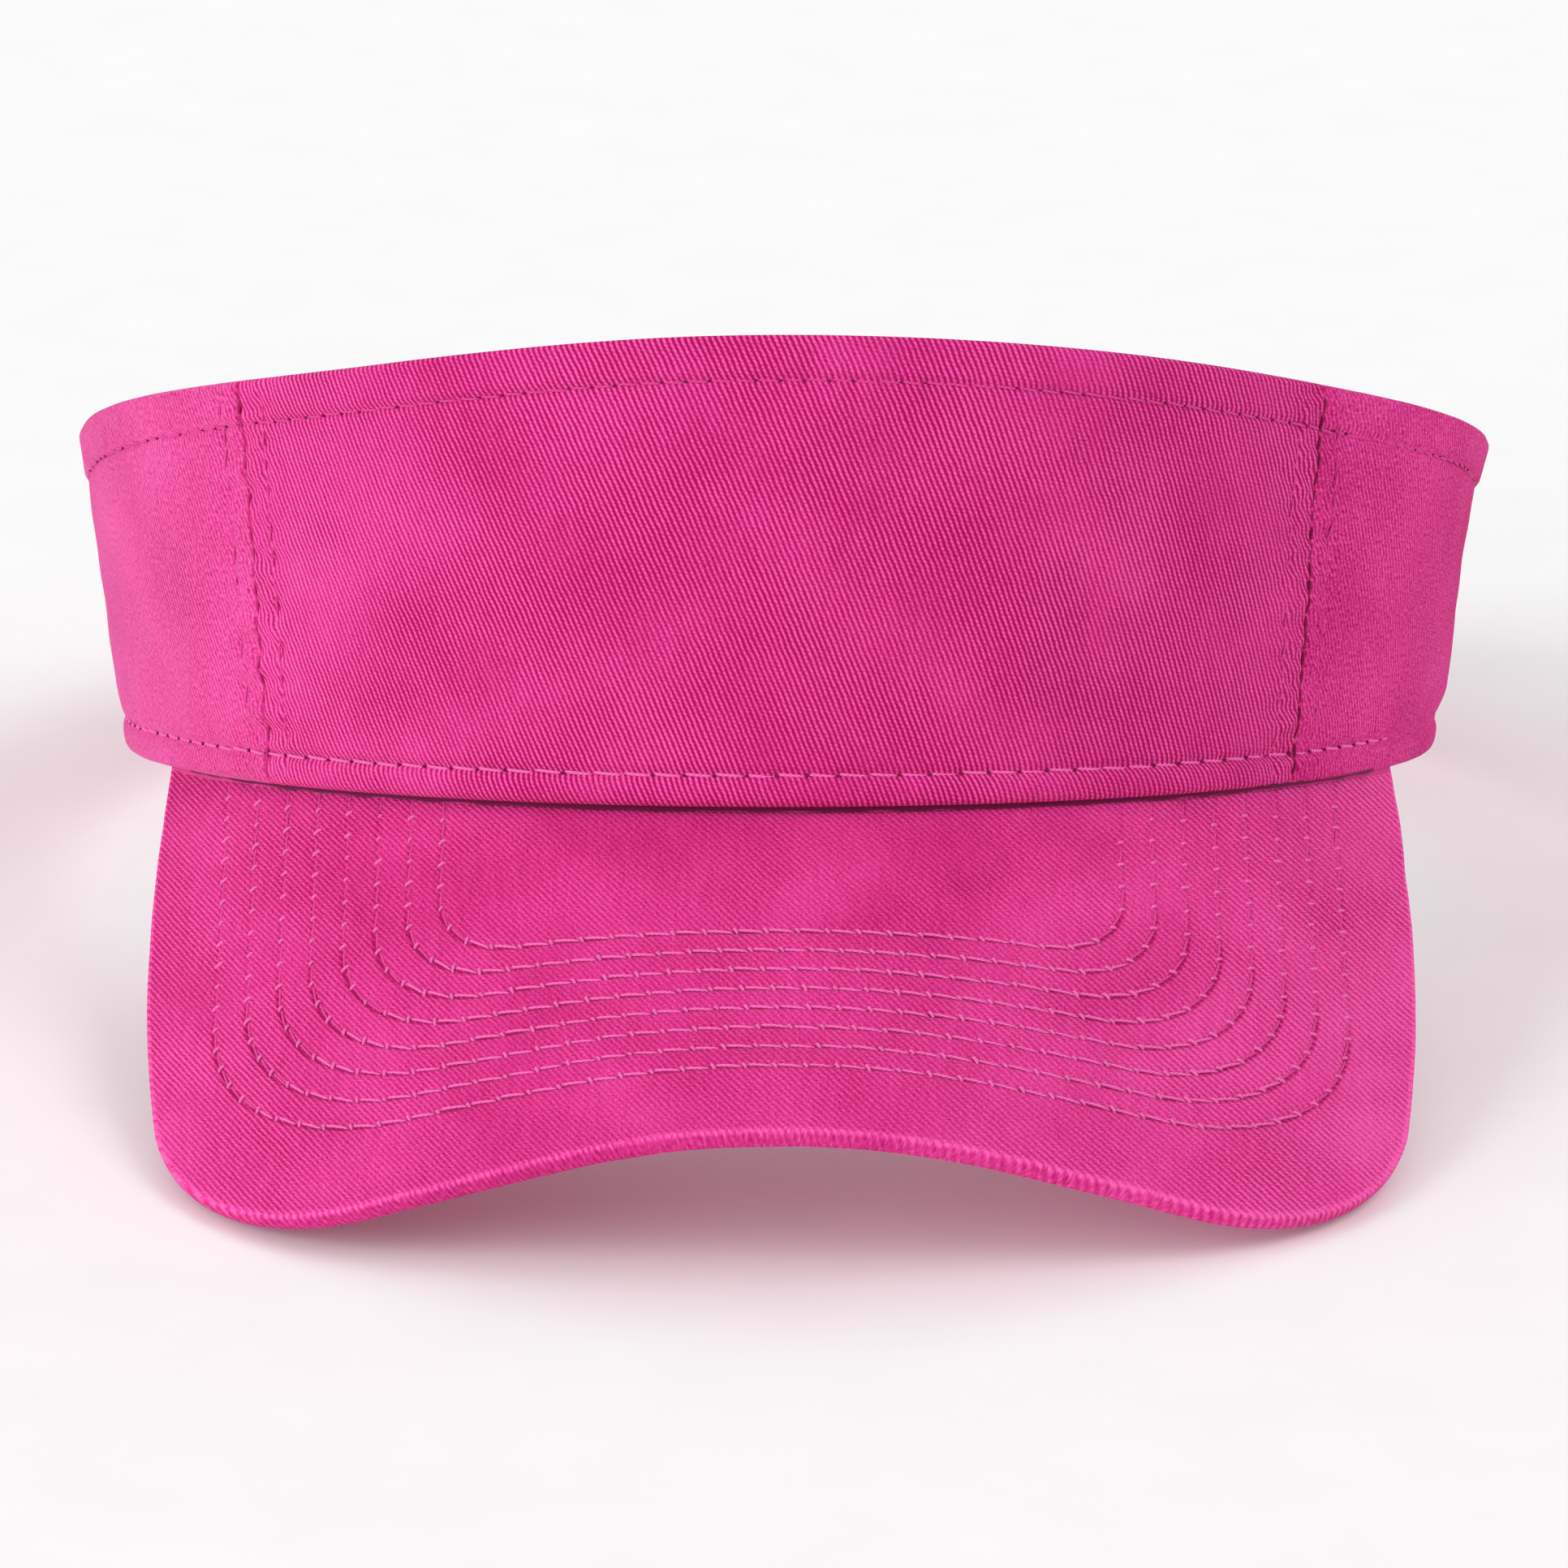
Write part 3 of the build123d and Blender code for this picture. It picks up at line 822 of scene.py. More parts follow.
def row_path(row):
    """Points and headings along a U of stitches, from one side to the other."""
    half, reach, radius, bow, centre_v = row_shape(row)
    corner_x = half - radius
    heading = math.atan2(centre_v - (reach - bow), corner_x)
    start_v = -(BAND_RADIUS - math.sqrt(ROOT_RADIUS**2 - half**2)) * math.cos(PITCH)
    side_length = centre_v - start_v
    corner_length = radius * heading
    front_length = bow * (math.pi / 2 - heading)
    total = side_length + corner_length + front_length
    place = np.arange(0, total, 0.1)
    x = np.full(place.shape, half)
    v = start_v + place
    corner = (place > side_length) & (place <= side_length + corner_length)
    turn = (place - side_length) / radius
    x = np.where(corner, corner_x + radius * np.cos(turn), x)
    v = np.where(corner, centre_v + radius * np.sin(turn), v)
    front = place > side_length + corner_length
    turn = heading + (place - side_length - corner_length) / bow
    x = np.where(front, bow * np.cos(turn), x)
    v = np.where(front, reach - bow + bow * np.sin(turn), v)
    path = np.stack([x, v], axis=-1)
    other = path[:-1][::-1] * (-1, 1)
    return np.concatenate([path, other])[::-1]


def beside(x, v):
    """1 where the nearest row of stitches runs along the brim's side, 0 across its front."""
    bends = [row_shape(row)[4] for row in range(BRIM_ROWS)]
    bend = np.interp(row_number(x, v), range(BRIM_ROWS), bends)
    return smooth_step(bend - v, -6.0, 4.0)


def quilting(x, v):
    """The top cover's relief: sunk at the rows of stitches, a little full between them."""
    out = 0.10 * noise(x, v, 26, 21) + 0.035 * noise(x, v, 7, 22)
    side = beside(x, v)
    for row in range(BRIM_ROWS):
        distance = row_distance(x, v, row)
        out = out - (0.24 - 0.17 * side) * bump(distance - 0.12, 0.42)
        out = out + 0.07 * noise(x + 3 * row, v, 4.4, 23 + row) * bump(distance, 1.6)
    # under the band's roll the cloth turns down to its seam
    from_band = np.hypot(x, BAND_RADIUS + v * math.cos(PITCH)) - ROOT_RADIUS
    return out - 0.45 * bump(np.maximum(from_band, 0), 1.3)


# ---------------------------------------------------------------- brim covers


def brim_planform(columns, rows, inset):
    """A grid over the brim, square on to it, from the band to an inset from the outline."""
    share = np.linspace(-1, 1, columns)
    edge, outward = outline(share)
    edge = edge - outward * inset
    widest = math.sin(math.pi / 2 * ROOT_SPREAD)
    root_x = ROOT_EDGE * np.sin(share * math.pi / 2 * ROOT_SPREAD) / widest
    root_v = -(BAND_RADIUS - np.sqrt(ROOT_RADIUS**2 - root_x**2)) * math.cos(PITCH)
    root = np.stack([root_x, root_v], axis=-1)
    near_band = np.linspace(0, 0.035, 8)[:-1]
    t = np.concatenate([near_band, np.linspace(0.035, 1, rows - 7)])[None, :, None]
    plan = root[:, None, :] * (1 - t) + edge[:, None, :] * t
    return plan[..., 0], plan[..., 1], outward


def brim_top():
    """The top cover: over the brim, round its edge and a little way under it."""
    fold = COVER_THICKNESS
    x, v, outward = brim_planform(430, 126, fold)
    points, normals = brim_frame(x, v)
    points = points + normals * quilting(x, v)[..., None]
    edge_x, edge_v = x[:, -1], v[:, -1]
    edge, up = brim_frame(edge_x, edge_v)
    beyond = brim_points(edge_x + outward[:, 0] * 0.3, edge_v + outward[:, 1] * 0.3)
    ahead = beyond - brim_points(edge_x, edge_v)
    ahead -= (ahead * up).sum(axis=1, keepdims=True) * up
    ahead /= np.linalg.norm(ahead, axis=1, keepdims=True)
    strip, runs = [], []
    thickness = BRIM_THICKNESS
    turns = np.linspace(0, math.pi / 2, 6)[1:]
    corner = [(fold * math.sin(t), -fold + fold * math.cos(t)) for t in turns]
    flat = [
        (fold + 0.12 * math.sin(math.pi * share), -fold - (thickness - 2 * fold) * share)
        for share in (0.25, 0.5, 0.75, 1)
    ]
    under = [(fold * math.cos(t), -thickness + fold - fold * math.sin(t)) for t in turns]
    run = 0.0
    last = (0.0, 0.0)
    for out, down in corner + flat + under + [(-1.2, -thickness + 0.05)]:
        run += math.hypot(out - last[0], down - last[1])
        last = (out, down)
        lip = LIP_SWELL * math.exp(-((run - LIP_AT) ** 2) / 0.5)
        strip.append(edge + ahead * out + up * (down + quilting(edge_x, edge_v)[:, None] + lip))
        runs.append(run)
    root_normals = normals[:, 0]
    folds = (BRIM_THICKNESS - 0.15, BRIM_THICKNESS - 0.5, 1.6, 0.5)
    root = np.stack([points[:, 0] - root_normals * down for down in folds], axis=1)
    all_points = np.concatenate([root, points, np.stack(strip, axis=1)], axis=1)
    weave = weave_place(x, v)
    turned = np.repeat(weave[:, -1:], len(strip), axis=1)
    turned[..., 1] -= 0.35 * np.array(runs)[None, :]
    hidden = np.repeat(weave[:, :1], len(folds), axis=1)
    hidden[..., 1] += np.array(folds)[None, :]
    uv = np.concatenate([hidden, weave, turned], axis=1)
    number, side = row_number(x, v), beside(x, v)
    away = -np.hypot(x - edge_x[:, None], v - edge_v[:, None])
    marks = np.stack([number, away, side], -1)
    lead = np.repeat(marks[:, :1], len(folds), axis=1)
    past = np.repeat(marks[:, -1:], len(strip), axis=1)
    past[..., 1] = np.array(runs)[None, :]
    marks = np.concatenate([lead, marks, past], axis=1)
    return closed_sheet("brim_top_cloth", all_points, COVER_THICKNESS, uv, brim_twill, marks)


def weave_place(x, v):
    """Where the flat cloth's weave falls on the arched brim."""
    return np.stack([x, brim_height(x, v) - v], axis=-1)


def arc_of(points):
    """Running length along a line of points."""
    steps = np.linalg.norm(np.diff(points, axis=0), axis=1)
    return np.concatenate([[0], np.cumsum(steps)])


def closed_sheet(name, points, thickness, uv, material, row_at):
    """A sheet whose outer face is the grid, given a thickness behind it and closed rims."""
    normals = grid_normals(points)
    rim = np.ones(points.shape[:2])
    rim[0, :] = rim[-1, :] = 0
    rim[:, 0] = rim[:, -1] = 0
    sign = np.sign((normals[points.shape[0] // 2, points.shape[1] // 2] @ UPWARDS))
    inner = points - normals * (sign * thickness * rim)[..., None]
    if sign > 0:
        return slab(name, points, inner, uv, material, row_at)
    return slab(name, points[::-1], inner[::-1], uv[::-1], material, row_at[::-1])


add(brim_top(), "brim_top_cover")


def brim_underside():
    """The bottom cover, on the underside of the brim."""
    x, v, _ = brim_planform(300, 90, 1.5)
    points, normals = brim_frame(x, v)
    relief = 0.08 * noise(x, v, 22, 41)
    for row in range(BRIM_ROWS):
        relief = relief - 0.12 * bump(row_distance(x, v, row), 0.5)
    points = points - normals * (BRIM_THICKNESS - 0.04 + relief)[..., None]
    inner = points.copy()
    inner[1:-1, 1:-1] += normals[1:-1, 1:-1] * UNDER_THICKNESS
    uv = weave_place(x, v)
    marks = np.stack([row_number(x, v), np.full(x.shape, -9.0), beside(x, v)], -1)
    return slab("brim_under_cloth", points, inner, uv, under_twill, marks)


add(brim_underside(), "brim_bottom_cover")

# ---------------------------------------------------------------- stitches


def stitches(name, starts, ends, normals, radius, material, slant=0.0, lift=0.5, knot=0.25):
    """Separate stitches, each a thread that comes up at one hole and goes down at the next."""
    rings, around = 9, 6
    dip = 0.15
    share = np.linspace(0, 1, rings)
    along = ends - starts
    length = np.linalg.norm(along, axis=1, keepdims=True)
    forward = along / length
    side = np.cross(normals, forward)
    rise = np.sin(math.pi * share) ** 0.45
    size = radius * (0.55 + 0.45 * np.sin(math.pi * share) ** 0.5)
    size = size * (1 + knot * np.exp(-(((share - 0.12) / 0.12) ** 2)))
    jitter = rng.normal(0, 0.06, (len(starts), 1, 1))
    raised = (rise * (radius * lift + dip) - dip)[None, :, None] + jitter * radius
    centre = (
        starts[:, None, :]
        + along[:, None, :] * share[None, :, None]
        + normals[:, None, :] * raised
        + side[:, None, :] * (slant * (0.5 - share)[None, :, None] + jitter)
    )
    turn = np.linspace(0, 2 * math.pi, around, endpoint=False)
    ring = (
        np.cos(turn)[None, None, :, None] * side[:, None, None, :]
        + np.sin(turn)[None, None, :, None] * normals[:, None, None, :]
    )
    points = centre[:, :, None, :] + ring * size[None, :, None, None]
    count = len(starts)
    points = points.reshape(count, rings * around, 3)
    faces = []
    for r in range(rings - 1):
        for a in range(around):
            b = (a + 1) % around
            low, high = r * around, (r + 1) * around
            faces.append((low + a, low + b, high + b, high + a))
    faces = np.array(faces)
    first = np.arange(around)[::-1]
    last = np.arange(around) + (rings - 1) * around
    caps = [first[:4], first[[0, 3, 4, 5]], last[:4], last[[0, 3, 4, 5]]]
    faces = np.concatenate([faces, np.array(caps)])
    all_faces = (faces[None] + (np.arange(count) * rings * around)[:, None, None]).reshape(-1, 4)
    run = np.arange(count)[:, None, None] * 1.7 + share[None, :, None] * 3.0
    around_uv = np.repeat((turn / (2 * math.pi))[None, None, :], rings, axis=1)
    full = (count, rings, around)
    uv = np.stack([np.broadcast_to(run, full), np.broadcast_to(around_uv, full)], axis=-1)
    return make_object(name, points.reshape(-1, 3), all_faces, uv.reshape(-1, 2), material)


def along_path(path, run, place):
    """Points of a path at given running lengths."""
    return np.stack([np.interp(place, run, path[:, k]) for k in range(path.shape[1])], -1)


def split_path(path, pitch, gap):
    """Starts and ends of stitches laid along a path with a stitch length and a small gap."""
    run = arc_of(path)
    count = int(run[-1] / pitch)
    holes = np.arange(count) * pitch + rng.normal(0, 0.07, count)
    return along_path(path, run, holes + gap / 2), along_path(path, run, holes + pitch - gap / 2)


def row_stitch(row):
    """The stitch length of a row; neighbouring rows differ a little."""
    return BRIM_STITCH + 0.07 * (row % 3)


def brim_ends():
    """Ends of all the brim's stitches, square on to it, and whether they run along its sides."""
    starts, stops = [], []
    for row in range(BRIM_ROWS):
        first, last = split_path(row_path(row), row_stitch(row), 0.3)
        starts.append(first)
        stops.append(last)
    starts, stops = np.concatenate(starts), np.concatenate(stops)
    run = np.abs(stops - starts)
    return starts, stops, run[:, 1] > 1.2 * run[:, 0]


def brim_stitches(name, starts, stops, over, radius, material, slant, under=False):
    """Stitches on one face of the brim."""
    a, up_a = brim_frame(starts[:, 0], starts[:, 1])
    b, up_b = brim_frame(stops[:, 0], stops[:, 1])
    depth = -(BRIM_THICKNESS + over) if under else over
    normals = -up_a if under else up_a
    return stitches(name, a + up_a * depth, b + up_b * depth, normals, radius, material, slant)


def brim_knots():
    """A small slanted lump where the thread goes down at each needle hole."""
    ends = []
    for row in range(BRIM_ROWS):
        path = row_path(row)
        run = arc_of(path)
        holes = np.arange(int(run[-1] / row_stitch(row))) * row_stitch(row)
        at = along_path(path, run, holes)
        ahead = along_path(path, run, holes + 0.2) - at
        ahead /= np.maximum(np.linalg.norm(ahead, axis=1, keepdims=True), 1e-6)
        across = np.stack([-ahead[:, 1], ahead[:, 0]], axis=-1)
        slanted = ahead * 0.3 + across * rng.uniform(0.3, 0.65, (len(holes), 1))
        ends.append((at - slanted, at + slanted))
    first = np.concatenate([a for a, _ in ends])
    last = np.concatenate([b for _, b in ends])
    a, up = brim_frame(first[:, 0], first[:, 1])
    b, _ = brim_frame(last[:, 0], last[:, 1])
    return stitches("brim_needle_knots", a - up * 0.1, b - up * 0.1, up, 0.25, thread_bright)


first, last, along_side = brim_ends()
front_stitches = first[~along_side], last[~along_side]
side_stitches = first[along_side], last[along_side]
front_row = brim_stitches("brim_stitching_front", *front_stitches, -0.14, 0.21, thread_light, 0.45)
add(front_row, "brim_stitching")
for piece in (
    # painted shade: the rows along the brim's sides are the same thread, drawn darker with
    # thread_mid
    brim_stitches("brim_stitching_sides", *side_stitches, -0.2, 0.17, thread_mid, 0.3),
    brim_stitches("brim_stitching_under", first, last, -0.25, 0.2, thread_dark, 0.2, under=True),
    brim_knots(),
):
    extra(piece)


def wall_normal(angle):
    turn = np.radians(angle)
    return np.stack([np.sin(turn), -np.cos(turn), -FLARE + 0 * turn], axis=-1)


def on_panel(over):
    """Places a little over the panels' outer face, with its relief."""
    return lambda angle, height: panel_out(angle, height, top_height(angle), 1.0) + over


def wall_holes(angle, height, out, pitch):
    """Starts, ends and normals of stitches along a line on the band."""
    path = np.stack([angle, height], axis=-1)
    run = arc_of(wall_points(angle, height, 0.0))
    count = int(run[-1] / pitch)
    holes = np.arange(count) * pitch + rng.normal(0, 0.08, count)
    ends = []
    for place in (holes + 0.15, holes + pitch - 0.15):
        here = along_path(path, run, place)
        stand = out(here[:, 0], here[:, 1]) if callable(out) else out
        ends.append(wall_points(here[:, 0], here[:, 1], stand))
    normals = wall_normal(np.interp(holes, run, angle))
    normals /= np.linalg.norm(normals, axis=1, keepdims=True)
    return ends[0], ends[1], normals


def wall_stitches(name, lines, out, pitch, radius, material, slant=0.0, lift=0.5):
    """Stitches along lines on the band, each given by its angles and heights."""
    holes = [wall_holes(angle, height, out, pitch) for angle, height in lines]
    starts, stops, normals = (np.concatenate(part) for part in zip(*holes))
    return stitches(name, starts, stops, normals, radius, material, slant, lift)


def needle_holes(name, lines, out, pitch, size, share):
    """Small dark pieces of painted shade in the holes where the needle went through; a share of
    them shows.
    """
    holes = [wall_holes(angle, height, out, pitch) for angle, height in lines]
    starts, stops, normals = (np.concatenate(part) for part in zip(*holes))
    shown = rng.random(len(starts)) < share
    starts, stops, normals = starts[shown], stops[shown], normals[shown]
    ahead = (stops - starts) / np.linalg.norm(stops - starts, axis=1, keepdims=True)
    before, after = starts - ahead * 0.45, starts + ahead * 0.1
    extra(stitches(name, before, after, normals, size, painted_hole_shade))


around = np.linspace(-PANEL_END + 0.6, PANEL_END - 0.6, 1200)
hem_line = [(around, top_height(around) - HEM_DEPTH)]
edge_line = [(around, np.full(around.shape, EDGE_ROW_HEIGHT))]
for name, line, pitch, radius, thread, slant, hole, shown in (
    ("top_hem", hem_line, HEM_STITCH, 0.17, thread_mid, 0.25, 0.18, 0.6),
    ("bottom_edge", edge_line, EDGE_STITCH, 0.24, thread_light, 0.3, 0.26, 0.85),
):
    row = wall_stitches(f"{name}_thread", line, on_panel(0.1), pitch, radius, thread, slant)
    add(row, f"{name}_stitching")
    needle_holes(f"{name}_holes", line, on_panel(0.12), pitch, hole, shown)


def seam_lines(seam):
    """The two rows of topstitching beside a seam."""
    lines = []
    for side in (-1, 1):
        turn = seam + side * math.degrees(SEAM_ROW_OFFSET / (BAND_RADIUS + 30 * FLARE))
        height = np.linspace(0.8, float(top_height(turn)) - 0.8, 300)
        lines.append((np.full(height.shape, turn), height))
    return lines


for side, seam, shadow in (("left", SEAM_ANGLE, painted_seam_shadow), ("right", -SEAM_ANGLE, thread_dark)):
    name = f"seam_thread_{side}"
    line = np.linspace(1.0, float(top_height(seam)) - 1.0, 300)
    # painted shadow: dark stitches laid in the dip where the panels meet; the right seam uses
    # thread_dark for it
    valley_shadow = [(np.full(line.shape, seam), line)]
    ladder = wall_stitches(f"{name}_valley", valley_shadow, on_panel(-0.3), 2.6, 0.25, shadow, 0.3, 0.8)
    extra(ladder)
    rows = wall_stitches(name, seam_lines(seam), on_panel(0.05), SEAM_STITCH, 0.16, thread_mid, 0.4)
    add(rows, f"seam_stitching_{side}")


# ---------------------------------------------------------------- inside of the band


def wall_piece(name, span, heights, depths, material, step=1.0, rim=0.3, relief=None):
    """A rounded strip of cloth on the wall: heights and depths may change with the angle."""
    start, end = span
    length = arc_length(end) - arc_length(start)
    u = spaced(length, step, rim)
    angle = start + (end - start) * u / length
    low, high, near, far = (
        np.broadcast_to(value(angle) if callable(value) else value, angle.shape)
        for value in (*heights, *depths)
    )
    tall = float((high - low).max())
    rise = spaced(tall, step, rim)
    height = low[:, None] + (high - low)[:, None] * rise[None, :] / tall
    angle = np.repeat(angle[:, None], len(rise), axis=1)
    side = np.minimum(u, length - u)[:, None]
    edge = np.minimum(rise, tall - rise)[None, :]
    half = (far - near)[:, None] / 2 * rim_factor(side, rim) * rim_factor(edge, rim)
    middle = -(far + near)[:, None] / 2
    if relief is not None:
        middle = middle + relief(arc_length(angle), height)
    uv = np.stack([arc_length(angle), height], axis=-1)
    outer = wall_points(angle, height, middle + half)
    inner = wall_points(angle, height, middle - half)
    return slab(name, outer, inner, uv, material)


def strip(name, node, slot, span, heights, depths, material, body="band", **more):
    """Add a strip of cloth that takes a CAD node's place."""
    add(wall_piece(name, span, heights, depths, material, **more), node, body)


def soft(scale, size, seed):
    """A little unevenness for a cloth strip."""
    return lambda u, height: size * noise(u, height, scale, seed)


FACING_DEPTH = 6.5
FACING_END = 124
TAPE_HALF = 2.7
TAPE_GAP = 0.5
ROOT_TAPE_HEIGHT = 8.5
ROOT_TAPE_END = 66
LINING = 1.05               # depth of the inner pieces' outer faces
CREASE_SHADOW_END = 61
CREASE_SHADOW_LOW, CREASE_SHADOW_HIGH = -0.72, 0.3


def below_top(depth):
    """A height measured down from the band's top edge."""
    return lambda angle: top_height(angle) - depth


strip(
    "front_buckram",
    "front_interlining",
    "buckram",
    (TAPE_HALF + 1 - SEAM_ANGLE, SEAM_ANGLE - TAPE_HALF - 1),
    (ROOT_TAPE_HEIGHT + TAPE_GAP, below_top(FACING_DEPTH + 1.5)),
    (LINING, 1.75),
    buckram_cloth,
    relief=soft(20, 0.04, 51),
)
strip(
    "hem_facing",
    "top_facing",
    "facing",
    (-FACING_END, FACING_END),
    (below_top(FACING_DEPTH), below_top(0.5)),
    (1.5, 1.95),
    facing_twill,
    step=0.8,
    relief=soft(9, 0.05, 52),
)
for side, seam in (("left", SEAM_ANGLE), ("right", -SEAM_ANGLE)):
    strip(
        f"seam_binding_{side}",
        f"seam_tape_{side}",
        "binding_tape",
        (seam - TAPE_HALF, seam + TAPE_HALF),
        (ROOT_TAPE_HEIGHT + TAPE_GAP, below_top(FACING_DEPTH + TAPE_GAP)),
        (LINING, 1.6),
        tape_cloth,
        step=0.6,
        relief=soft(6, 0.06, 53),
    )
strip(
    "brim_root_binding",
    "brim_root_tape",
    "binding_tape",
    (-ROOT_TAPE_END, ROOT_TAPE_END),
    (-1.4, ROOT_TAPE_HEIGHT),
    (LINING, 1.55),
    tape_cloth,
    relief=soft(8, 0.05, 54),
)


def crease_shadow_low(angle):
    """The dark sheet of painted shadow in the brim's seam thins out towards its ends."""
    thinner = 0.5 * (np.abs(angle) / CREASE_SHADOW_END) ** 3
    return CREASE_SHADOW_LOW + thinner + 0.12 * noise(angle, 0, 4, 56)


# painted shadow: a dark sheet in the crease between the band's roll and the brim
crease_shadow_piece = wall_piece(
    "brim_seam_cord",
    (-CREASE_SHADOW_END, CREASE_SHADOW_END),
    (crease_shadow_low, CREASE_SHADOW_HIGH),
    (0.35, 0.9),
    crease_shadow_dark,
    rim=0.25,
    relief=soft(7, 0.06, 55),
)
extra(crease_shadow_piece)

# ---------------------------------------------------------------- sweatband

SWEAT_END = 120.0
SWEAT_LOW, SWEAT_HIGH = 1.5, 29.0
SWEAT_OUTER, SWEAT_INNER = 2.0, 4.4
SWEAT_CLOTH = 0.5
LABEL_SPAN = (100, 108)
LABEL_LOW, LABEL_HIGH = 5, 25


def sweep(name, span, profile, material, step, relief):
    """A closed profile of depths and heights, carried round the band, with flat ends."""
    start, end = span
    count = int((arc_length(end) - arc_length(start)) / step)
    angle = np.linspace(start, end, count)
    depth, height = profile[:, 0], profile[:, 1]
    around_run = arc_of(np.column_stack([profile, np.zeros(len(profile))]))
    grid_angle = np.repeat(angle[:, None], len(profile), axis=1)
    grid_height = np.tile(height, (count, 1))
    out = -depth[None, :] + relief(arc_length(grid_angle), grid_height)
    points = wall_points(grid_angle, grid_height, out)
    uv = np.stack([arc_length(grid_angle), np.tile(around_run, (count, 1))], axis=-1)
    loop = len(profile)
    index = np.arange(count * loop).reshape(count, loop)
    turned = np.roll(index, -1, axis=1)
    faces = np.stack([index[:-1], turned[:-1], turned[1:], index[1:]], axis=-1).reshape(-1, 4)
    half = loop // 2
    caps = []
    for row, turn in ((index[0], 1), (index[-1], -1)):
        for k in range(half - 1):
            caps.append([row[k], row[loop - 1 - k], row[loop - 2 - k], row[k + 1]][::turn])
    faces = np.concatenate([faces, np.array(caps)])
    return make_object(name, points.reshape(-1, 3), faces, uv.reshape(-1, 2), material)


def c_profile(outer, inner, low, high, thickness, bend):
    """A C of cloth, open towards the panels, as a closed loop of depths and heights."""
    turns = np.linspace(0, math.pi / 2, 7)
    walls = []
    for inset, round_off in ((0.0, bend), (thickness, max(bend - thickness, 0.15))):
        face, bottom, top = inner - inset, low + inset, high - inset
        side = [(outer, top), (outer + 0.3, top)]
        flat, upper, lower = face - round_off, top - round_off, bottom + round_off
        side += [(flat + round_off * math.sin(t), upper + round_off * math.cos(t)) for t in turns]
        side += [(face, z) for z in np.linspace(upper, lower, 24)[1:-1]]
        side += [(flat + round_off * math.cos(t), lower - round_off * math.sin(t)) for t in turns]
        side += [(outer + 0.3, bottom), (outer, bottom)]
        walls.append(side)
    return np.array(walls[0] + walls[1][::-1])


def sweat_relief(u, height):
    """Puckers of the sweatband, strongest beside the row of stitches near its lower edge."""
    from_row = height - SWEAT_LOW - 3.0
    out = -0.12 * noise(u, height, 15, 61)
    out = out + 0.25 * bump(from_row, 0.7)
    return out - 0.10 * noise(u, 0.2 * height, 4.0, 62) * bump(from_row, 3.0)


sweat_cover = sweep(
    "sweatband_cloth",
    (-SWEAT_END, SWEAT_END),
    c_profile(SWEAT_OUTER, SWEAT_INNER, SWEAT_LOW, SWEAT_HIGH, SWEAT_CLOTH, 1.1),
    lining,
    0.9,
    sweat_relief,
)
add(sweat_cover, "sweatband_cover")
strip(
    "sweatband_felt",
    "sweatband_core",
    "felt",
    (0.4 - SWEAT_END, SWEAT_END - 0.4),
    (SWEAT_LOW + 0.8, SWEAT_HIGH - 0.8),
    (SWEAT_OUTER + 0.05, SWEAT_INNER - SWEAT_CLOTH - 0.35),
    felt_cloth,
    step=1.6,
)


def label_relief(u, height):
    """The label is sewn at its lower end and stands off a little at its upper one."""
    return -0.25 * smooth_step(height, 17, LABEL_HIGH) - 0.05 * noise(u, height, 9, 63)


strip(
    "blank_label",
    "care_label",
    "label",
    LABEL_SPAN,
    (LABEL_LOW, LABEL_HIGH),
    (SWEAT_INNER - 0.05, SWEAT_INNER + 0.3),
    label_cloth,
    step=0.7,
    rim=0.15,
    relief=label_relief,
)

# ---------------------------------------------------------------- back closure

STRAP_LOW, STRAP_HIGH = 4.5, 22.5
STRAP_ROOT, STRAP_TIP = 124.0, 185.0
STRAP_OUTER, STRAP_INNER = 1.3, 2.9
LOOP_INNER = 3.6
STRAP_MIDDLE = 13.5
HOOK_INNER = 4.6
INNER_DEPTH = 6.2
TIP_RADIUS = 5.0
BLEND_FROM, BLEND_TO = 150.6, 156.0     # angles in degrees from the front, like the rest
JOGGLE_FROM, JOGGLE_TO = 209.5, 220.5
INNER_SPAN = (163, 230)
HOOK_SPAN = (164, 208)
LOOP_SPAN = (165, 183)


def rounded_tip(tip, radius, sign):
    """How much narrower the strap is towards its rounded end."""

    def narrowing(angle):
        away = np.abs(arc_length(tip) - arc_length(angle))
        inside = np.clip(radius - away, 0, radius)
        return sign * (radius - np.sqrt(radius**2 - inside**2))

    return narrowing


def strap_relief(u, height):
    """Two layers of twill sewn flat near the strap's edges."""
    edge = np.minimum(height - STRAP_LOW, STRAP_HIGH - height)
    return 0.05 * noise(u, height, 13, 71) - 0.10 * bump(edge - 2.0, 0.45)


narrow_low = rounded_tip(STRAP_TIP, TIP_RADIUS, 1)
narrow_high = rounded_tip(STRAP_TIP, TIP_RADIUS, -1)
outer_strap = wall_piece(
    "outer_strap_cloth",
    (STRAP_ROOT, STRAP_TIP),
    (
        lambda angle: STRAP_LOW + narrow_low(angle),
        lambda angle: STRAP_HIGH + narrow_high(angle),
    ),
    (STRAP_OUTER, STRAP_INNER),
    strap_twill,
    step=0.6,
    rim=0.7,
    relief=strap_relief,
)
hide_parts("outer_strap_root", "outer_strap")


def world_place(angle, height, out):
    """One point on the wall, in the row frame."""
    return tuple(to_world(wall_points(np.array(angle), np.array(height), out)))


world_place(BLEND_FROM, STRAP_MIDDLE, -2.1)
world_place(BLEND_TO, STRAP_MIDDLE, -2.1)
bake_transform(outer_strap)


def joggle(flat, stepped):
    """A depth that steps outwards where the inner strap meets the right panel."""
    return lambda angle: flat + (stepped - flat) * smooth_step(angle, JOGGLE_FROM, JOGGLE_TO)


strip(
    "inner_strap_cloth",
    "inner_strap",
    "strap_twill",
    INNER_SPAN,
    (STRAP_LOW, STRAP_HIGH),
    (joggle(HOOK_INNER, LINING), joggle(INNER_DEPTH, 2.65)),
    strap_twill,
    step=0.7,
    rim=0.7,
    relief=soft(14, 0.05, 72),
)


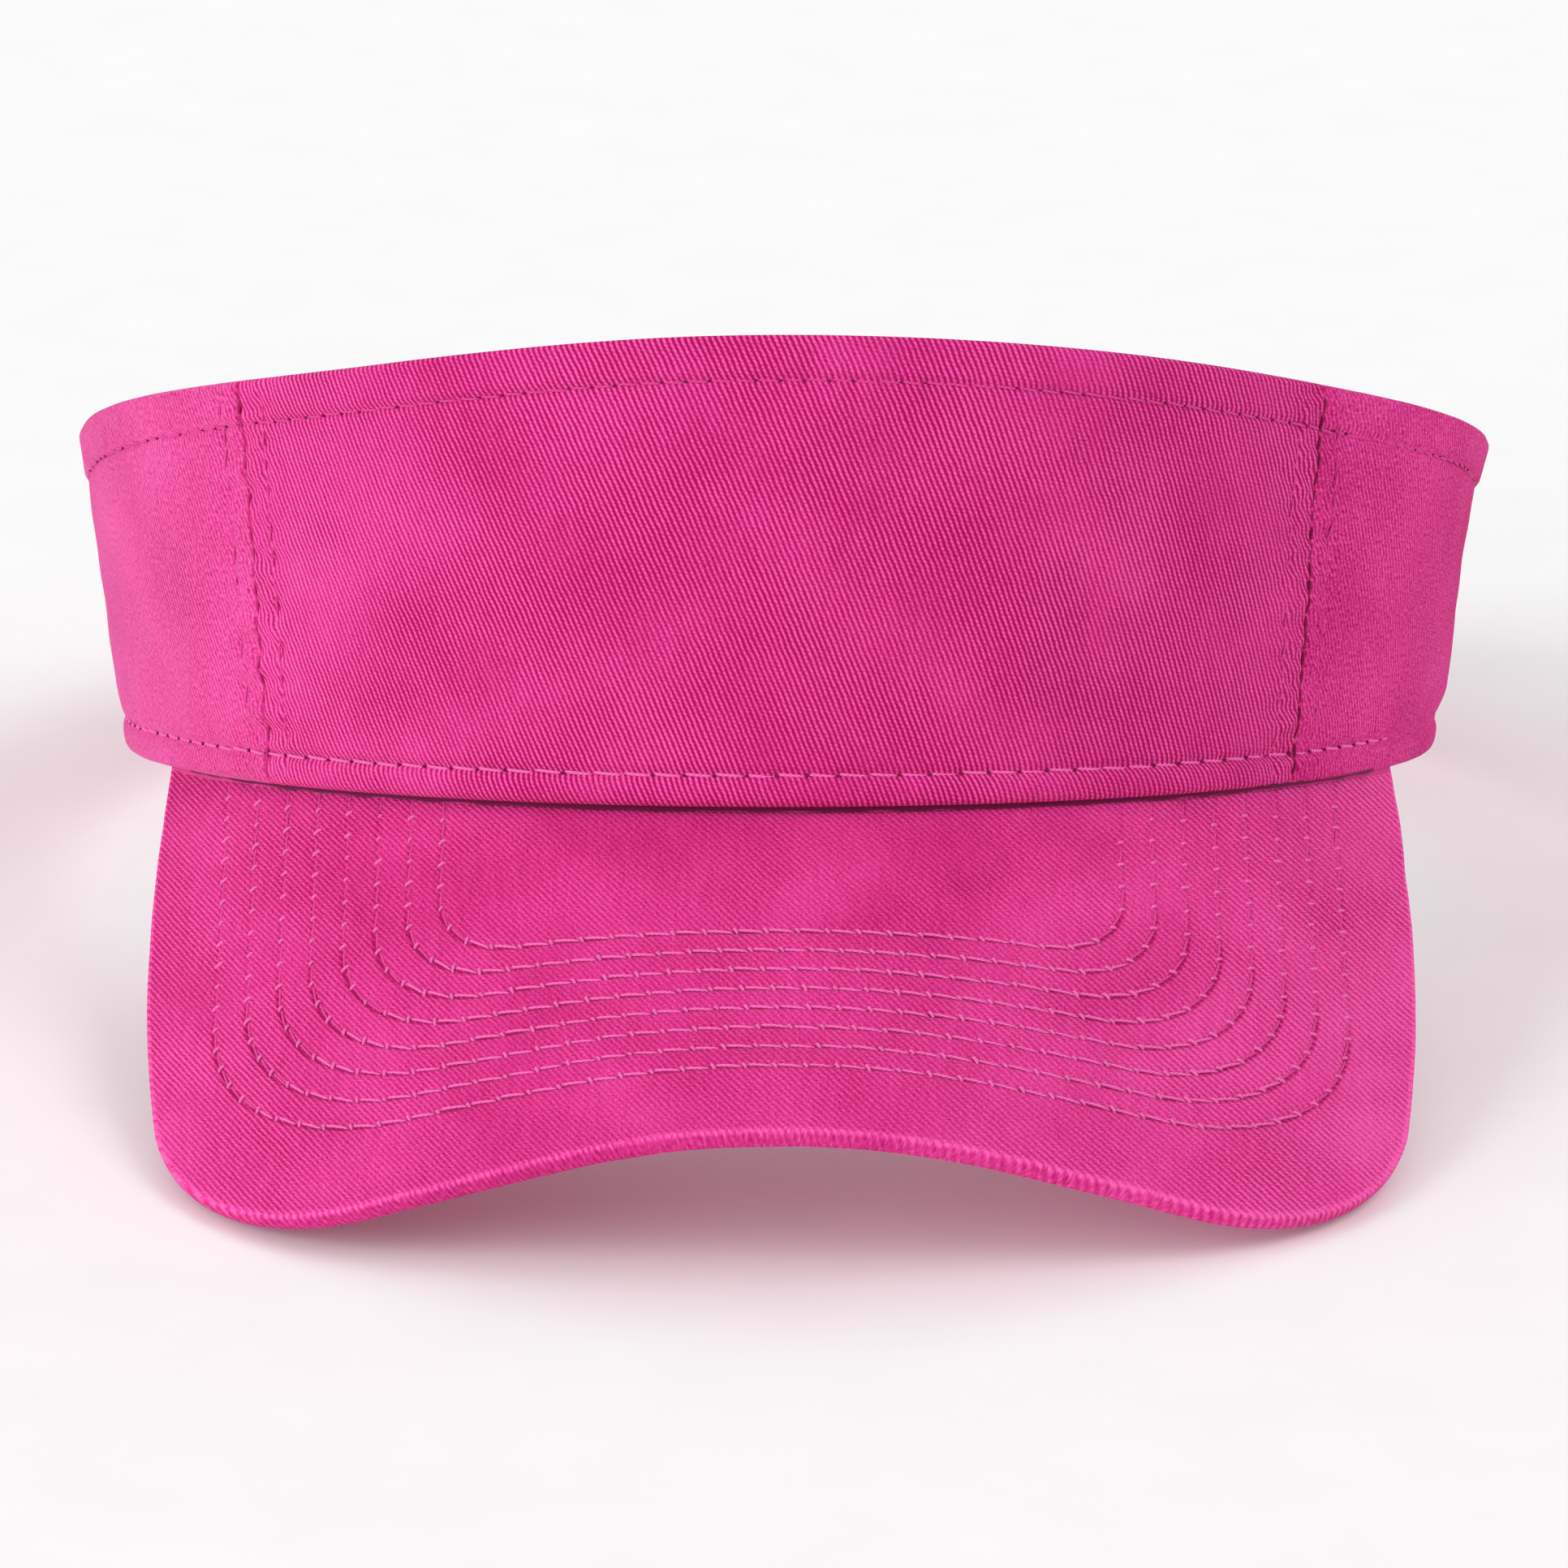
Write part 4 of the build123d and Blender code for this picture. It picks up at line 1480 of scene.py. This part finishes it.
def hooks(angles, heights):
    """Rows of small bent hooks standing on the hook tape."""
    bend = np.array([(0.0, 0.0), (0.30, 0.02), (0.50, 0.16), (0.42, 0.34)])
    thick = (0.13, 0.11, 0.09, 0.05)
    points, faces = [], []
    for row, angle in enumerate(angles):
        turn = math.radians(angle)
        away = np.array((math.sin(turn), -math.cos(turn), 0.0))
        along = np.array((math.cos(turn), math.sin(turn), 0.0)) * (1 if row % 2 else -1)
        up = np.array((0.0, 0.0, 1.0))
        for height in heights:
            foot = wall_points(np.array(angle), np.array(height), -HOOK_INNER + 0.28)
            first = len(points)
            for (rise, reach), half in zip(bend, thick):
                middle = foot + away * rise * 0.8 + along * reach
                for corner in ((-1, -1), (1, -1), (1, 1), (-1, 1)):
                    points.append(middle + along * corner[0] * half * 0.7 + up * corner[1] * half)
            for ring in range(3):
                a = first + ring * 4
                for k in range(4):
                    b = (k + 1) % 4
                    faces.append((a + k, a + b, a + 4 + b, a + 4 + k))
            faces.append((first + 3, first + 2, first + 1, first))
            faces.append((first + 12, first + 13, first + 14, first + 15))
    points = np.array(points)
    return make_object("hook_tape_hooks", points, faces, points[:, :2], hook_plastic)


strip(
    "hook_tape_base",
    "hook_tape",
    "hook_tape",
    HOOK_SPAN,
    (STRAP_LOW + 1, STRAP_HIGH - 1),
    (HOOK_INNER - 0.32, HOOK_INNER + 0.02),
    hook_cloth,
    step=0.8,
    rim=0.15,
)
hook_heights = np.arange(STRAP_LOW + 2, STRAP_HIGH - 1.6, 1.25)
extra(hooks(np.arange(165.2, 207.2, 0.95), hook_heights))


def pile(u, height):
    """The uneven pile of the loop tape."""
    return -0.12 * np.abs(noise(u, height, 1.9, 73)) + 0.04 * noise(u, height, 7, 74)


strip(
    "loop_tape_pile",
    "loop_tape",
    "loop_tape",
    LOOP_SPAN,
    (STRAP_LOW + 1, STRAP_HIGH - 1),
    (STRAP_INNER - 0.02, LOOP_INNER),
    loop_cloth,
    "strap_flap",
    step=0.45,
    rim=0.4,
    relief=pile,
)


def frame_lines(first, last, low, high):
    """The four sides of a rectangle sewn on the strap."""
    turn = np.linspace(first, last, 200)
    rise = np.linspace(low, high, 60)
    return [
        (turn, np.full(turn.shape, low)),
        (turn, np.full(turn.shape, high)),
        (np.full(rise.shape, first), rise),
        (np.full(rise.shape, last), rise),
    ]


def sewn_box(name, lines, out):
    """The box of stitches on a strap's end."""
    return wall_stitches(name, lines, out, STRAP_STITCH, 0.22, thread_light, 0.2)


strap_lines = frame_lines(165.5, 181.5, STRAP_LOW + 1.8, STRAP_HIGH - 1.8)
strap_thread = sewn_box("strap_thread", strap_lines, -STRAP_OUTER - 0.02)
add(strap_thread, "strap_stitching", "strap_flap")
joint_lines = frame_lines(-149.0, -132.0, STRAP_LOW + 1.6, STRAP_HIGH - 1.6)
extra(sewn_box("strap_joint_thread", joint_lines, 0.05))

# ---------------------------------------------------------------- brim board

board = bpy.data.objects.get("brim_board") or next(
    obj for obj in bpy.data.objects if obj.name.startswith("brim_board")
)
board.data.materials.clear()
board.data.materials.append(board_material())

# ---------------------------------------------------------------- camera and light

CAMERA_DISTANCE = 1400.0
CAMERA_ELEVATION = math.radians(5.75)
CAMERA_TARGET = np.array((0.0, 0.0, -6.59))
CAMERA_LENS = 216.85
CAMERA_SHIFT = 0.00162
KEY_FROM, KEY_STRENGTH = (-0.78, -0.5, 0.38), 1.5
FILL_FROM, FILL_STRENGTH = (0.6, -0.35, 0.8), 0.7
WORLD_STRENGTH = 0.66


def place_camera():
    """The camera stands in front of the band, a little above its plane."""
    away = np.array((0.0, -math.cos(CAMERA_ELEVATION), math.sin(CAMERA_ELEVATION)))
    eye = CAMERA_TARGET + CAMERA_DISTANCE * away
    data = bpy.data.cameras.new("camera")
    data.sensor_width = 36.0
    data.lens = CAMERA_LENS
    data.shift_x = CAMERA_SHIFT
    data.clip_end = 20.0
    camera = bpy.data.objects.new("camera", data)
    bpy.context.scene.collection.objects.link(camera)
    start, end = Vector(to_world(eye)), Vector(to_world(CAMERA_TARGET))
    back = (start - end).normalized()
    across = Vector((0, 0, 1)).cross(back).normalized()
    up = back.cross(across)
    matrix = Matrix((across, up, back)).transposed().to_4x4()
    matrix.translation = start
    camera.matrix_world = matrix
    bpy.context.scene.camera = camera


place_camera()

for name, toward, strength in (
    ("key", KEY_FROM, KEY_STRENGTH),
    ("fill", FILL_FROM, FILL_STRENGTH),
):
    lamp = bpy.data.lights.new(name, "SUN")
    lamp.energy = strength
    lamp.angle = math.radians(35)
    light = bpy.data.objects.new(name, lamp)
    light.rotation_euler = Vector(toward).to_track_quat("Z", "Y").to_euler()
    bpy.context.scene.collection.objects.link(light)

world = bpy.data.worlds.new("studio")
world.use_nodes = True
world.node_tree.nodes["Background"].inputs["Color"].default_value = (1, 1, 1, 1)
world.node_tree.nodes["Background"].inputs["Strength"].default_value = WORLD_STRENGTH
bpy.context.scene.world = world
bpy.context.scene.view_settings.view_transform = "Standard"

floor_nodes = Nodes("floor_paper")
floor_place = floor_nodes.add("ShaderNodeTexCoord").outputs["Object"]
floor_grain = floor_nodes.noise(floor_place, 60.0, 2.0)
floor_stops = [(0.3, (0.95, 0.95, 0.95)), (0.7, (0.97, 0.97, 0.97))]
floor_colour = floor_nodes.ramp(floor_grain, floor_stops)
floor_material = floor_nodes.finish(floor_colour, floor_grain, 0.02 * MM, 0.9, 0.0)
mesh = bpy.data.meshes.new("floor")
mesh.from_pydata([(-6, -6, 0), (6, -6, 0), (6, 6, 0), (-6, 6, 0)], [], [(0, 1, 2, 3)])
mesh.materials.append(floor_material)
floor = bpy.data.objects.new("floor", mesh)
bpy.context.scene.collection.objects.link(floor)
